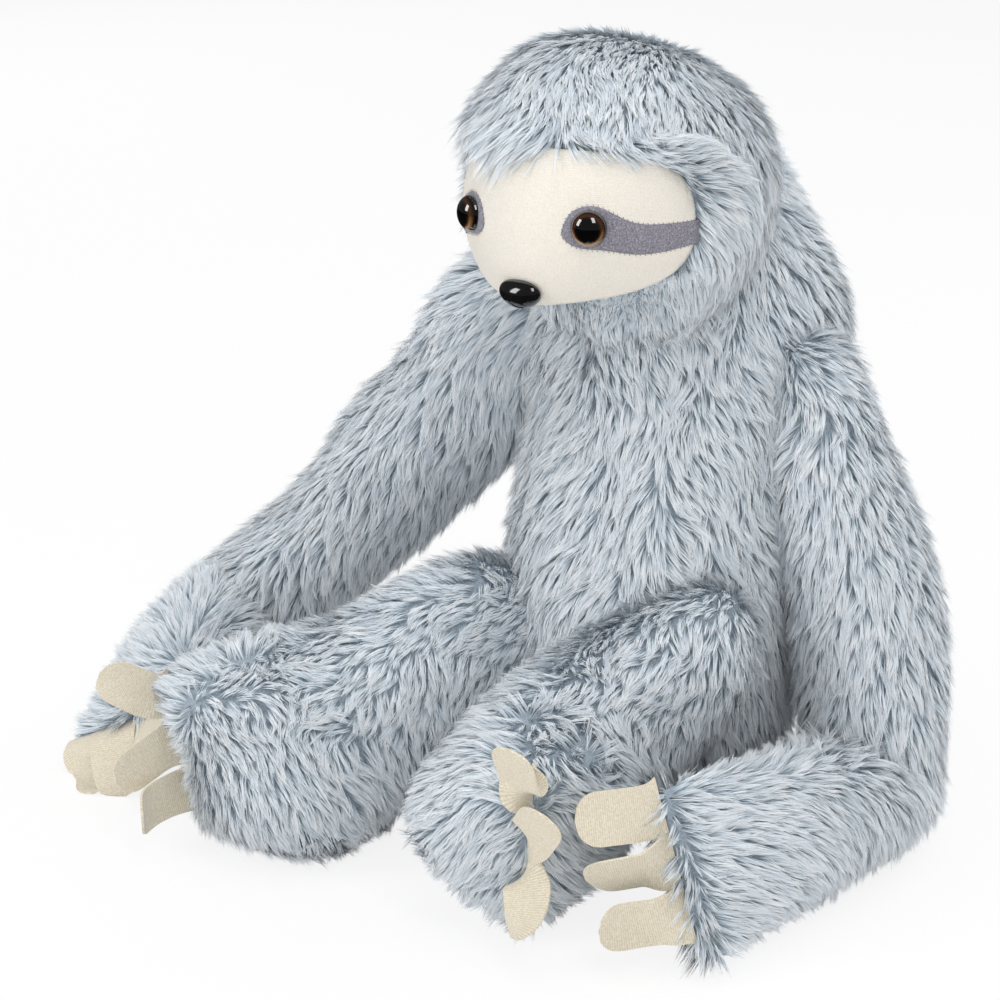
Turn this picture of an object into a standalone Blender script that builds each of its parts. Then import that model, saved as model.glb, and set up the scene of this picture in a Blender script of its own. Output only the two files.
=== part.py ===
"""A sitting plush sloth, built as it is sewn: fur cloth covers over their stuffing, a knit face
with safety eyes and a nose, and felt claws in the paw seams. It faces -Y and its left side is +X.
The origin is the middle of the flat seat, and lengths are in metres."""
import math

import bmesh
import bpy
from mathutils import Matrix, Vector

# Clearances and cloth
FIT_GAP = 0.0003
TURN_GAP = 0.0004
FILL_GAP = 0.0012
FLOOR_CUT = 0.0005
FUR_WALL = 0.0040
KNIT_WALL = 0.0020
PATCH_WALL = 0.0006
FELT_WALL = 0.0012
OVERRUN = 0.4000

# Torso: a pear of stuffed fur cloth that leans back towards its top
TORSO_HEIGHT = 0.388
TORSO_HALF_WIDTH = 0.078
TORSO_HALF_DEPTH = 0.080
TORSO_LEAN = 0.053
FLANK_HALF_WIDTH = 0.0736
SEAT_FILL_RISE = 0.0045

# Head: a ball whose face is knit
HEAD_RADIUS = 0.077
HEAD_TURN = math.radians(3.0)
HEAD_CENTRE = Vector((0.0, -0.042, 0.347))
FACE_RADIUS = 0.0715
FACE_SWELL = 0.0070
SNOUT_SWELL = 0.0055
FACE_HALF_SPAN = math.radians(80.0)
FACE_HALF_RISE = math.radians(37.5)
FACE_DROP = math.radians(0.0)
FACE_CORNER = 2.4
SWELL_DROP = math.radians(-8.0)
SNOUT_DROP = math.radians(-24.0)
SNOUT_SPREAD = math.radians(18.0)
# Shares of the way out to the face's edge: the stuffing swells inside the first, fills the hood past the next
FACE_FILL_SHARE = 0.60
HOOD_FILL_SHARE = 1.25

# Safety eyes and nose, each with a stem through the knit and a washer behind it
EYE_TURN = math.radians(28.0)
EYE_RISE = math.radians(2.0)
EYE_RADIUS = 0.0090
EYE_HEIGHT = 0.0068
NOSE_HALF_WIDTH = 0.0118
NOSE_HALF_RISE = 0.0078
NOSE_HEIGHT = 0.0070
STEM_RADIUS = 0.0021
STEM_LENGTH = 0.0120
WASHER_RADIUS = 0.0080
WASHER_WALL = 0.0015
STEM_TIP = 0.0030
PATCH_END_TURN = math.radians(72.0)
PATCH_END_RISE = math.radians(-6.0)
PATCH_EYE_HALF_RISE = 0.0128
PATCH_BAND_HALF_RISE = 0.0076

# Arms: stuffed tubes sewn to the flanks, bent at the elbow
ARM_RADIUS = 0.036
SHOULDER = Vector((0.077, 0.030, 0.246))
SHOULDER_RADIUS = 0.028
SHOULDER_TILT = math.radians(8.0)
LEFT_ELBOW = Vector((0.124, 0.031, ARM_RADIUS - FLOOR_CUT))
RIGHT_ELBOW = Vector((-0.263, -0.044, 0.058))
LEFT_HAND_END = Vector((0.128, -0.145, 0.0500))
RIGHT_HAND_END = Vector((-0.240, -0.164, 0.0330))
LEFT_HAND_SEAM = Vector((-0.38, 0.0, 0.92))
RIGHT_HAND_SEAM = Vector((0.53, 0.70, 0.48))

# Legs: stuffed tubes sewn to the front of the seat, their feet turned out
LEG_RADIUS = 0.0520
HIP_RADIUS = 0.038
HIP_MOUTH_RADIUS = 0.011
HIP_MOUTH_DEPTH = 0.016
HIP = Vector((0.048, -0.052, 0.096))
LEFT_KNEE = Vector((0.002, -0.124, 0.068))
RIGHT_KNEE = Vector((-0.092, -0.142, 0.068))
LEFT_FOOT_END = Vector((0.060, -0.178, 0.050))
RIGHT_FOOT_END = Vector((-0.163, -0.203, 0.050))
LEFT_FOOT_SEAM = Vector((0.0, 0.0, 1.0))
RIGHT_FOOT_SEAM = Vector((0.15, 0.13, 0.98))
LEG_LIFT = math.radians(30.0)
LIFT_STEPS = 4
SWEPT_RINGS = 3

# Claws: one strip of felt for each paw, cut into three fingers
CLAW_LENGTH = 0.046
CLAW_WIDTH = 0.0270
CLAW_PITCH = 0.0310
CLAW_WEB = 0.0070
CLAW_COUNT = 3
FOOT_CLAW_SHARE = 0.93
FOOT_CLAW_RISE = 0.0070
LEFT_HAND_CLAW_RISE = 0.0060
CLAW_CURL = math.radians(12.0)
LEFT_HAND_CLAWS = math.radians(-28.0)
RIGHT_HAND_CLAWS = math.radians(2.0)
LEFT_FOOT_CLAWS = math.radians(-20.0)
RIGHT_FOOT_CLAWS = math.radians(18.0)

# Facets
TORSO_SIDES = 24
LIMB_SIDES = 16
ELBOW_SIDES = 30
HEAD_SIDES = 28
HEAD_RINGS = 14
FACE_SIDES = 32
FACE_RINGS = 6
CAP_RINGS = 3
EYE_SIDES = 20
EYE_RINGS = 5
WASHER_SIDES = 16
PATCH_STEPS = 10
TIP_STEPS = 4

# Shares of the torso's height, half width, half depth and lean, from the seat to the neck
TORSO_SHARES = (
    (0.00, 0.62, 0.60, 0.00),
    (0.03, 0.80, 0.78, -0.01),
    (0.08, 0.92, 0.90, -0.04),
    (0.15, 0.99, 0.97, -0.07),
    (0.25, 1.00, 1.00, -0.08),
    (0.37, 1.00, 1.00, -0.02),
    (0.49, 0.99, 0.98, 0.12),
    (0.60, 0.97, 0.94, 0.32),
    (0.70, 0.92, 0.86, 0.50),
    (0.79, 0.80, 0.72, 0.62),
    (0.87, 0.64, 0.57, 0.68),
    (0.94, 0.45, 0.40, 0.70),
    (0.985, 0.22, 0.21, 0.70),
)
# Shares of the length, and of the radius across and along the seam, from the elbow to the claws
HAND_SHARES = (
    (0.00, 0.97, 0.97),
    (0.25, 1.00, 1.02),
    (0.50, 0.98, 1.10),
    (0.70, 0.84, 1.18),
    (0.86, 0.58, 1.25),
    (0.96, 0.28, 1.30),
    (1.00, 0.10, 1.30),
)
# The same from the hip to the claws, in shares of the leg's radius
LEG_SHARES = (
    (0.12, 0.81, 0.92),
    (0.28, 0.84, 0.96),
    (0.44, 0.88, 0.98),
    (0.60, 0.95, 1.00),
    (0.74, 0.99, 1.01),
    (0.86, 0.88, 0.99),
    (0.95, 0.60, 0.92),
    (0.99, 0.28, 0.86),
    (1.00, 0.10, 0.82),
)
# Shares of the arm's length, and of its swell from the shoulder's radius to the arm's own
ARM_SHARES = ((0.15, 0.55), (0.32, 0.90), (0.50, 1.00), (0.75, 1.00))
# Where the rows across an eye patch and along a claw's straight sides lie
PATCH_ROW_SHARES = (-1.0, -0.5, 0.0, 0.5, 1.0)
CLAW_ROW_SHARES = (0.0, 0.5, 1.0)

FUR_COLOUR = (0.485, 0.552, 0.604, 1.0)
FILL_COLOUR = (0.88, 0.88, 0.86, 1.0)
KNIT_COLOUR = (0.831, 0.791, 0.708, 1.0)
PATCH_COLOUR = (0.301, 0.292, 0.393, 1.0)
FELT_COLOUR = (0.745, 0.658, 0.474, 1.0)
AMBER_COLOUR = (0.093, 0.030, 0.009, 1.0)
BLACK_COLOUR = (0.006, 0.006, 0.007, 1.0)
WASHER_COLOUR = (0.80, 0.80, 0.78, 1.0)

X_AXIS = Vector((1.0, 0.0, 0.0))
Y_AXIS = Vector((0.0, 1.0, 0.0))
Z_AXIS = Vector((0.0, 0.0, 1.0))


def material(name, colour, roughness):
    """A plain finish for one kind of cloth or plastic."""
    made = bpy.data.materials.new(name)
    made.use_nodes = True
    shader = made.node_tree.nodes["Principled BSDF"]
    shader.inputs["Base Color"].default_value = colour
    shader.inputs["Roughness"].default_value = roughness
    shader.inputs["Metallic"].default_value = 0.0
    return made


def add_object(name, mesh, finish=None):
    """Puts a mesh into the scene; one without a finish is a cutter."""
    made = bpy.data.objects.new(name, mesh)
    bpy.context.collection.objects.link(made)
    if finish is None:
        made.hide_render = True
        made.display_type = "WIRE"
    else:
        mesh.materials.append(finish)
        mesh.shade_smooth()
    return made


def new_mesh(name, shape):
    """Turns a closed bmesh into a mesh whose faces point out."""
    bmesh.ops.recalc_face_normals(shape, faces=shape.faces[:])
    mesh = bpy.data.meshes.new(name)
    shape.to_mesh(mesh)
    shape.free()
    return mesh


def bridge(shape, lower, upper):
    """Joins two rings of as many corners with triangles that all slant one way."""
    count = len(lower)
    for i in range(count):
        j = (i + 1) % count
        shape.faces.new((lower[i], lower[j], upper[j]))
        shape.faces.new((lower[i], upper[j], upper[i]))


def close_ring(shape, ring, tip=None):
    """Closes a ring with a fan about its middle, or about a tip beyond it."""
    middle = sum((corner.co for corner in ring), Vector()) / len(ring)
    hub = shape.verts.new(middle if tip is None else tip)
    for i, corner in enumerate(ring):
        shape.faces.new((hub, corner, ring[(i + 1) % len(ring)]))


def loft(name, rings, first_tip=None, last_tip=None):
    """A closed skin through rings of points."""
    shape = bmesh.new()
    corners = [[shape.verts.new(point) for point in ring] for ring in rings]
    for lower, upper in zip(corners, corners[1:]):
        bridge(shape, lower, upper)
    close_ring(shape, corners[0], first_tip)
    close_ring(shape, corners[-1], last_tip)
    return new_mesh(name, shape)


def oval(centre, across, along, half_across, half_along, sides):
    """The corners of an oval about a centre."""
    points = []
    for i in range(sides):
        angle = math.tau * i / sides
        points.append(centre + across * half_across * math.cos(angle)
                      + along * half_along * math.sin(angle))
    return points


def cut(target, cutter):
    """Takes the cutter's space away from the target."""
    step = target.modifiers.new(cutter.name, "BOOLEAN")
    step.operation = "DIFFERENCE"
    step.object = cutter


def box_cutter(name, low, high):
    """A cutter between two opposite corners."""
    shape = bmesh.new()
    bmesh.ops.create_cube(shape, size=1.0)
    size = high - low
    for corner in shape.verts:
        corner.co = Vector((corner.co.x * size.x, corner.co.y * size.y, corner.co.z * size.z))
        corner.co += (low + high) / 2
    return add_object(name, new_mesh(name, shape))


def rod(name, start, direction, length, radius, sides):
    """A round bar used as a cutter."""
    across = direction.orthogonal().normalized()
    along = direction.cross(across)
    rings = [oval(start + direction * reach, across, along, radius, radius, sides)
             for reach in (0.0, length)]
    return add_object(name, loft(name, rings))


def moved_to(piece, pivot):
    """Sets a piece's origin on its joint without moving its shape."""
    piece.data.transform(Matrix.Translation(-pivot))
    piece.location = pivot


# Torso

def torso_rings(inset, rise):
    """The torso's rings, drawn in by the inset and starting at the given height."""
    rings = []
    for height, width, depth, lean in TORSO_SHARES:
        level = rise + height * (TORSO_HEIGHT - rise - inset)
        centre = Vector((0.0, lean * TORSO_LEAN, level))
        rings.append(oval(centre, X_AXIS, Y_AXIS, width * TORSO_HALF_WIDTH - inset,
                          depth * TORSO_HALF_DEPTH - inset, TORSO_SIDES))
    return rings


def make_torso(fur, fill, cutters):
    """The body's cover and stuffing, cut by the head, the limbs and the floor."""
    cover = add_object("torso_cover", loft("torso_cover", torso_rings(0.0, -FLOOR_CUT)), fur)
    hollow_rings = torso_rings(FUR_WALL, SEAT_FILL_RISE - FIT_GAP)
    cut(cover, add_object("torso_hollow", loft("torso_hollow", hollow_rings)))
    stuffing_rings = torso_rings(FUR_WALL + FIT_GAP, SEAT_FILL_RISE)
    stuffing = add_object("torso_stuffing", loft("torso_stuffing", stuffing_rings), fill)
    for cutter in cutters:
        cut(cover, cutter)
        cut(stuffing, cutter)
    return cover


def flank_cutter(name, side, half_width, reach):
    """The space from one flank to the reach, whose flat face is square to the shoulder's axis."""
    near, far = sorted((side * half_width, side * reach))
    made = box_cutter(name, Vector((near, -OVERRUN, -OVERRUN)), Vector((far, OVERRUN, 2.0 * OVERRUN)))
    seam = Matrix.Translation(Vector((side * half_width, SHOULDER.y, 0.0)))
    made.data.transform(seam @ Matrix.Rotation(side * SHOULDER_TILT, 4, "Z") @ seam.inverted())
    return made


def floor_cutter():
    """The space under the floor, which presses flat what rests on it."""
    return box_cutter("floor_cutter", Vector((-OVERRUN, -OVERRUN, -OVERRUN)),
                      Vector((OVERRUN, OVERRUN, 0.0)))


# Head

def head_direction(turn, rise):
    """The direction that is turned to the sloth's left and raised from where the face looks."""
    around = turn + HEAD_TURN
    return Vector((math.sin(around) * math.cos(rise), -math.cos(around) * math.cos(rise), math.sin(rise)))


def face_reach(direction):
    """How far the knit face stands from the head's centre in a direction."""
    swell = max(0.0, direction.dot(head_direction(0.0, SWELL_DROP))) ** 2
    off_snout = direction.angle(head_direction(0.0, SNOUT_DROP)) / SNOUT_SPREAD
    return FACE_RADIUS + FACE_SWELL * swell + SNOUT_SWELL * math.exp(-off_snout ** 2)


def face_edge(angle, share):
    """A direction on the face's almond outline, or the given share of the way out to it."""
    side, lift = math.cos(angle), math.sin(angle)
    stretch = (abs(side) ** FACE_CORNER + abs(lift) ** FACE_CORNER) ** (-1.0 / FACE_CORNER)
    return head_direction(share * stretch * side * FACE_HALF_SPAN,
                          FACE_DROP + share * stretch * lift * FACE_HALF_RISE)


def inside_face(turn, rise):
    """How far out to the face's outline a direction lies, where 1 is on it."""
    turn = (turn + math.pi) % math.tau - math.pi
    across = abs(turn) / FACE_HALF_SPAN
    lift = abs(rise - FACE_DROP) / FACE_HALF_RISE
    return (across ** FACE_CORNER + lift ** FACE_CORNER) ** (1.0 / FACE_CORNER)


def ball(name, radius, finish=None):
    """A ball about the head's centre with its poles up and down."""
    rings = []
    for k in range(1, HEAD_RINGS):
        rise = math.pi * k / HEAD_RINGS - math.pi / 2
        centre = HEAD_CENTRE + Z_AXIS * radius * math.sin(rise)
        reach = radius * math.cos(rise)
        rings.append(oval(centre, X_AXIS, Y_AXIS, reach, reach, HEAD_SIDES))
    pole = Z_AXIS * radius
    return add_object(name, loft(name, rings, HEAD_CENTRE - pole, HEAD_CENTRE + pole), finish)


def face_cutter(name, reach):
    """A cone from the head's centre through the face's outline."""
    widen = 1.0 + TURN_GAP / (HEAD_RADIUS * FACE_HALF_RISE)
    shape = bmesh.new()
    edge = [HEAD_CENTRE + face_edge(math.tau * i / FACE_SIDES, widen) * reach for i in range(FACE_SIDES)]
    corners = [shape.verts.new(point) for point in edge]
    root = shape.verts.new(HEAD_CENTRE)
    crown = shape.verts.new(HEAD_CENTRE + head_direction(0.0, FACE_DROP) * reach)
    for i in range(FACE_SIDES):
        after = corners[(i + 1) % FACE_SIDES]
        shape.faces.new((root, corners[i], after))
        shape.faces.new((crown, corners[i], after))
    return add_object(name, new_mesh(name, shape))


def face_grid(shape, sink):
    """Rings of corners over the face, sunk below its surface, from the middle out to the edge."""
    middle = head_direction(0.0, FACE_DROP)
    hub = shape.verts.new(HEAD_CENTRE + middle * (face_reach(middle) - sink))
    rings = []
    for k in range(1, FACE_RINGS + 1):
        ring = []
        for i in range(FACE_SIDES):
            way = face_edge(math.tau * i / FACE_SIDES, k / FACE_RINGS)
            ring.append(shape.verts.new(HEAD_CENTRE + way * (face_reach(way) - sink)))
        rings.append(ring)
    for i in range(FACE_SIDES):
        shape.faces.new((hub, rings[0][i], rings[0][(i + 1) % FACE_SIDES]))
    for inner, outer in zip(rings, rings[1:]):
        bridge(shape, inner, outer)
    return rings[-1]


def make_face(knit):
    """The knit panel inside the hood's opening."""
    shape = bmesh.new()
    bridge(shape, face_grid(shape, 0.0), face_grid(shape, KNIT_WALL))
    return add_object("face_panel", new_mesh("face_panel", shape), knit)


def make_head_stuffing(fill):
    """A ball that fills the hood and swells into the back of the face."""
    rings = []
    hood_reach = HEAD_RADIUS - FUR_WALL - FIT_GAP
    for k in range(1, HEAD_RINGS):
        rise = math.pi * k / HEAD_RINGS - math.pi / 2
        ring = []
        for i in range(HEAD_SIDES):
            turn = math.tau * i / HEAD_SIDES + math.pi / 2 - HEAD_TURN
            way = head_direction(turn, rise)
            behind_face = face_reach(way) - KNIT_WALL - FILL_GAP
            outward = inside_face(turn, rise)
            if outward > HOOD_FILL_SHARE:
                reach = hood_reach
            elif outward > FACE_FILL_SHARE:
                reach = min(hood_reach, behind_face)
            else:
                reach = behind_face
            ring.append(HEAD_CENTRE + way * reach)
        rings.append(ring)
    pole = Z_AXIS * hood_reach
    return add_object("head_stuffing", loft("head_stuffing", rings, HEAD_CENTRE - pole, HEAD_CENTRE + pole),
                      fill)


# Eyes, nose, washers and patches

def frame_on_face(turn, rise, lift):
    """A point above the face and the three directions there: out, across and up."""
    out = head_direction(turn, rise)
    across = Z_AXIS.cross(out).normalized()
    up = out.cross(across)
    return HEAD_CENTRE + out * (face_reach(out) + lift), out, across, up


def stud(name, place, half_width, half_rise, height, finish):
    """A domed button with a stem behind it."""
    seat, out, across, up = place
    rings = [oval(seat - out * STEM_LENGTH, across, up, STEM_RADIUS, STEM_RADIUS, EYE_SIDES),
             oval(seat, across, up, STEM_RADIUS, STEM_RADIUS, EYE_SIDES)]
    for k in range(EYE_RINGS):
        angle = math.pi / 2 * k / EYE_RINGS
        rings.append(oval(seat + out * height * math.sin(angle), across, up,
                          half_width * math.cos(angle), half_rise * math.cos(angle), EYE_SIDES))
    return add_object(name, loft(name, rings), finish)


def washer(name, place, finish):
    """The ring that holds a stem from behind."""
    seat, out, across, up = place
    back = seat - out * (STEM_LENGTH - STEM_TIP)
    front = back + out * WASHER_WALL
    bore = STEM_RADIUS + FIT_GAP
    shape = bmesh.new()
    rings = []
    for centre, radius in ((back, bore), (back, WASHER_RADIUS), (front, WASHER_RADIUS), (front, bore)):
        points = oval(centre, across, up, radius, radius, WASHER_SIDES)
        rings.append([shape.verts.new(point) for point in points])
    for k in range(len(rings)):
        bridge(shape, rings[k], rings[(k + 1) % len(rings)])
    return add_object(name, new_mesh(name, shape), finish)


def stem_cutter(name, place, radius, depth):
    """A bar along a stem, whose flats lie no nearer than the radius."""
    seat, out, _, _ = place
    start = seat - out * depth
    return rod(name, start, out, depth + STEM_LENGTH, radius / math.cos(math.pi / EYE_SIDES), EYE_SIDES)


def patch_line(side, share):
    """The middle of the eye patch and its half height, from before the eye out to the hood."""
    start = EYE_TURN - PATCH_EYE_HALF_RISE / FACE_RADIUS
    turn = start + share * (PATCH_END_TURN - start)
    along = (turn - EYE_TURN) / (PATCH_END_TURN - EYE_TURN)
    rise = EYE_RISE + max(0.0, along) * (PATCH_END_RISE - EYE_RISE)
    off_eye = (turn - EYE_TURN) * FACE_RADIUS
    disc = math.sqrt(max(0.0, PATCH_EYE_HALF_RISE ** 2 - off_eye ** 2))
    band = PATCH_BAND_HALF_RISE if off_eye > 0.0 else 0.0
    return side * turn, rise, max(disc, band, PATCH_WALL)


def make_patch(side, name, finish, hole):
    """A thin teardrop of velour from the eye back to the hood, laid over the knit."""
    shape = bmesh.new()
    layers = []
    for lift in (FIT_GAP, FIT_GAP + PATCH_WALL):
        rows = []
        for k in range(PATCH_STEPS + 1):
            turn, rise, half = patch_line(side, k / PATCH_STEPS)
            row = []
            for across in PATCH_ROW_SHARES:
                way = head_direction(turn, rise + across * half / FACE_RADIUS)
                row.append(shape.verts.new(HEAD_CENTRE + way * (face_reach(way) + lift)))
            rows.append(row)
        layers.append(rows)
    below, above = layers
    for rows in layers:
        for near, far in zip(rows, rows[1:]):
            for j in range(len(near) - 1):
                shape.faces.new((near[j], near[j + 1], far[j + 1], far[j]))
    for k in range(PATCH_STEPS):
        for j in (0, -1):
            shape.faces.new((below[k][j], below[k + 1][j], above[k + 1][j], above[k][j]))
    for k in (0, -1):
        for j in range(len(below[k]) - 1):
            shape.faces.new((below[k][j], below[k][j + 1], above[k][j + 1], above[k][j]))
    made = add_object(name, new_mesh(name, shape), finish)
    cut(made, hole)
    return made


def make_head(finishes):
    """The hood, face, patches, eyes, nose, washers and stuffing, all turned about one axis."""
    hood = ball("head_cover", HEAD_RADIUS, finishes["fur"])
    cut(hood, ball("hood_hollow", HEAD_RADIUS - FUR_WALL))
    cut(hood, face_cutter("face_opening", 2.0 * HEAD_RADIUS))
    face = make_face(finishes["knit"])
    stuffing = make_head_stuffing(finishes["fill"])
    pieces = [hood, face, stuffing]
    for side, word in ((1.0, "left"), (-1.0, "right")):
        place = frame_on_face(side * EYE_TURN, EYE_RISE, FIT_GAP + PATCH_WALL + FIT_GAP)
        pieces.append(stud("eye_" + word, place, EYE_RADIUS, EYE_RADIUS, EYE_HEIGHT, finishes["amber"]))
        pieces.append(washer("eye_washer_" + word, place, finishes["washer"]))
        hole = stem_cutter("eye_hole_" + word, place, STEM_RADIUS + FIT_GAP, STEM_LENGTH)
        pieces.append(make_patch(side, "eye_patch_" + word, finishes["patch"], hole))
        cut(face, hole)
        cut(stuffing, stem_cutter("eye_pocket_" + word, place, WASHER_RADIUS + FIT_GAP,
                                  STEM_LENGTH + FIT_GAP))
    place = frame_on_face(0.0, SNOUT_DROP, FIT_GAP)
    pieces.append(stud("nose", place, NOSE_HALF_WIDTH, NOSE_HALF_RISE, NOSE_HEIGHT, finishes["black"]))
    pieces.append(washer("nose_washer", place, finishes["washer"]))
    cut(face, stem_cutter("nose_hole", place, STEM_RADIUS + FIT_GAP, STEM_LENGTH))
    cut(stuffing, stem_cutter("nose_pocket", place, WASHER_RADIUS + FIT_GAP, STEM_LENGTH + FIT_GAP))
    for piece in pieces:
        moved_to(piece, HEAD_CENTRE)


# Limbs

def limb_rings(stations, inset):
    """Rings through stations of centre, direction, seam direction and the two radii, drawn in all round."""
    least = inset + FUR_WALL if inset > 0.0 else 0.0
    kept = [station for station in stations if min(station[3], station[4]) > least]
    rings = []
    for k, (centre, ahead, along, half_across, half_along) in enumerate(kept):
        shift = inset if k == 0 else -inset if k == len(kept) - 1 else 0.0
        across = along.cross(ahead).normalized()
        rings.append(oval(centre + ahead * shift, across, along, half_across - inset,
                          half_along - inset, LIMB_SIDES))
    return rings


def make_limb(name, stations, finishes, cutters, tips=(None, None)):
    """A cover with its stuffing inside, both cut by what they lie against."""
    cover = add_object(name + "_cover", loft(name + "_cover", limb_rings(stations, 0.0), *tips),
                       finishes["fur"])
    hollow = add_object(name + "_hollow", loft(name + "_hollow", limb_rings(stations, FUR_WALL)))
    cut(cover, hollow)
    stuffing_mesh = loft(name + "_stuffing", limb_rings(stations, FUR_WALL + FIT_GAP))
    stuffing = add_object(name + "_stuffing", stuffing_mesh, finishes["fill"])
    for cutter in cutters:
        cut(cover, cutter)
        cut(stuffing, cutter)
    return cover, stuffing


def squared(along, ahead):
    """The seam direction made square to the limb."""
    return (along - ahead * along.dot(ahead)).normalized()


def arm_stations(shoulder, elbow):
    """A tube with a round end over the shoulder and another under the elbow."""
    ahead = (elbow - shoulder).normalized()
    along = squared(Y_AXIS, ahead)
    stations = []
    for k in range(1, CAP_RINGS + 1):
        angle = math.pi / 2 * k / CAP_RINGS
        radius = SHOULDER_RADIUS * math.sin(angle)
        stations.append((shoulder - ahead * SHOULDER_RADIUS * math.cos(angle), ahead, along, radius, radius))
    for share, swell in ARM_SHARES:
        radius = SHOULDER_RADIUS + swell * (ARM_RADIUS - SHOULDER_RADIUS)
        stations.append((shoulder.lerp(elbow, share), ahead, along, radius, radius))
    for k in range(CAP_RINGS):
        angle = math.pi / 2 * k / CAP_RINGS
        radius = ARM_RADIUS * math.cos(angle)
        stations.append((elbow + ahead * ARM_RADIUS * math.sin(angle), ahead, along, radius, radius))
    return stations


def hand_stations(elbow, end, seam):
    """A tube that flattens from the elbow into the seam of the paw."""
    ahead = (end - elbow).normalized()
    stations = []
    for share, across, along in HAND_SHARES:
        direction = squared(Z_AXIS.lerp(seam.normalized(), share), ahead)
        stations.append((elbow.lerp(end, share), ahead, direction, ARM_RADIUS * across, ARM_RADIUS * along))
    return stations


def curve_point(start, bend, end, share):
    """A point on a bent limb's middle line, and the way it runs there."""
    point = start.lerp(bend, share).lerp(bend.lerp(end, share), share)
    ahead = (bend - start).lerp(end - bend, share).normalized()
    return point, ahead


def leg_stations(hip, knee, end, seam):
    """A tube with a round end in the seat and a pinched ball for a foot."""
    _, first = curve_point(hip, knee, end, 0.0)
    stations = []
    for k in range(1, CAP_RINGS + 1):
        angle = math.pi / 2 * k / CAP_RINGS
        radius = HIP_RADIUS * math.sin(angle)
        stations.append((hip - first * HIP_RADIUS * math.cos(angle), first, squared(Z_AXIS, first),
                         radius, radius))
    for share, across, along in LEG_SHARES:
        point, ahead = curve_point(hip, knee, end, share)
        direction = squared(Z_AXIS.lerp(seam.normalized(), share), ahead)
        stations.append((point, ahead, direction, LEG_RADIUS * across, LEG_RADIUS * along))
    return stations


def hip_clearance(name, hip, stations):
    """The space that a leg sweeps in the seat as it lifts, as one convex wedge."""
    shape = bmesh.new()
    points = [hip - stations[0][1] * (HIP_RADIUS + TURN_GAP)]
    for centre, ahead, along, half_across, half_along in stations[:CAP_RINGS + SWEPT_RINGS]:
        across = along.cross(ahead)
        points += oval(centre, across, along, half_across + TURN_GAP, half_along + TURN_GAP, LIMB_SIDES)
    for step in range(LIFT_STEPS + 1):
        turn = Matrix.Rotation(-LEG_LIFT * step / LIFT_STEPS, 4, "X")
        for point in points:
            shape.verts.new(hip + turn @ (point - hip))
    hull = bmesh.ops.convex_hull(shape, input=shape.verts[:])
    loose = [item for item in hull["geom_interior"] if isinstance(item, bmesh.types.BMVert)]
    bmesh.ops.delete(shape, geom=loose, context="VERTS")
    return add_object(name, new_mesh(name, shape))


# Claws

def claw_rows(scale):
    """Rows across one finger, each how far out it is and its half width, from the web to the tip."""
    length, half, web = CLAW_LENGTH * scale, CLAW_WIDTH * scale / 2, CLAW_WEB * scale
    rows = [(web + share * (length - half - web), half) for share in CLAW_ROW_SHARES]
    for step in range(1, TIP_STEPS):
        angle = math.pi / 2 * step / TIP_STEPS
        rows.append((length - half + half * math.sin(angle), half * math.cos(angle)))
    return rows


def make_claws(name, stations, rise, bend, scale, felt):
    """The felt strip at a paw's seam, bent aside about the seam and curled towards its tips."""
    end, ahead, along, _, _ = stations[-1]
    pivot = end + ahead * (FELT_WALL / 2 + FIT_GAP) + along * rise
    turn = math.copysign(CLAW_CURL, bend) / (CLAW_LENGTH * scale)

    def place(reach, level):
        angle = turn * reach
        out = math.sin(angle) / turn
        aside = (1.0 - math.cos(angle)) / turn
        way = Matrix.Rotation(bend, 3, along) @ ahead
        return pivot + way * out + along.cross(way) * aside + along * level

    shape = bmesh.new()
    rows = claw_rows(scale)
    root_row = []
    web_row = []
    for k in range(CLAW_COUNT):
        middle = (k - (CLAW_COUNT - 1) / 2) * CLAW_PITCH * scale
        sides = [[shape.verts.new(place(reach, middle + side * half)) for side in (-1.0, 1.0)]
                 for reach, half in rows]
        for near, far in zip(sides, sides[1:]):
            shape.faces.new((near[0], near[1], far[1], far[0]))
        tip = shape.verts.new(place(CLAW_LENGTH * scale, middle))
        shape.faces.new((sides[-1][0], sides[-1][1], tip))
        web_row += sides[0]
        root_row += [shape.verts.new(place(0.0, middle + side * rows[0][1])) for side in (-1.0, 1.0)]
    for k in range(len(web_row) - 1):
        shape.faces.new((root_row[k], root_row[k + 1], web_row[k + 1], web_row[k]))
    made = add_object(name, new_mesh(name, shape), felt)
    moved_to(made, pivot)
    wall = made.modifiers.new("felt", "SOLIDIFY")
    wall.thickness = FELT_WALL
    wall.offset = 0.0
    return made


def make_arm(word, side, elbow, end, seam, rise, bend, finishes, floor):
    """The arm down to its elbow, the forearm with its paw, and the claws in the paw's seam."""
    shoulder = Vector((side * SHOULDER.x, SHOULDER.y, SHOULDER.z))
    against_flank = flank_cutter(word + "_flank_space", side, FLANK_HALF_WIDTH + FIT_GAP, -OVERRUN)
    down = (elbow - shoulder).normalized()
    tips = (shoulder - down * SHOULDER_RADIUS, elbow + down * ARM_RADIUS)
    upper = make_limb(word + "_upper_arm", arm_stations(shoulder, elbow), finishes, (against_flank, floor),
                      tips)
    bore = (ARM_RADIUS + TURN_GAP) / math.cos(math.pi / ELBOW_SIDES)
    round_elbow = rod(word + "_elbow_space", elbow - down * OVERRUN, down, 2.0 * OVERRUN, bore, ELBOW_SIDES)
    stations = hand_stations(elbow, end, seam)
    lower = make_limb(word + "_forearm", stations, finishes, (round_elbow, floor))
    for piece in upper:
        moved_to(piece, shoulder)
    for piece in lower:
        moved_to(piece, elbow)
    make_claws(word + "_hand_claws", stations, rise, bend, 1.0, finishes["felt"])


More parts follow.
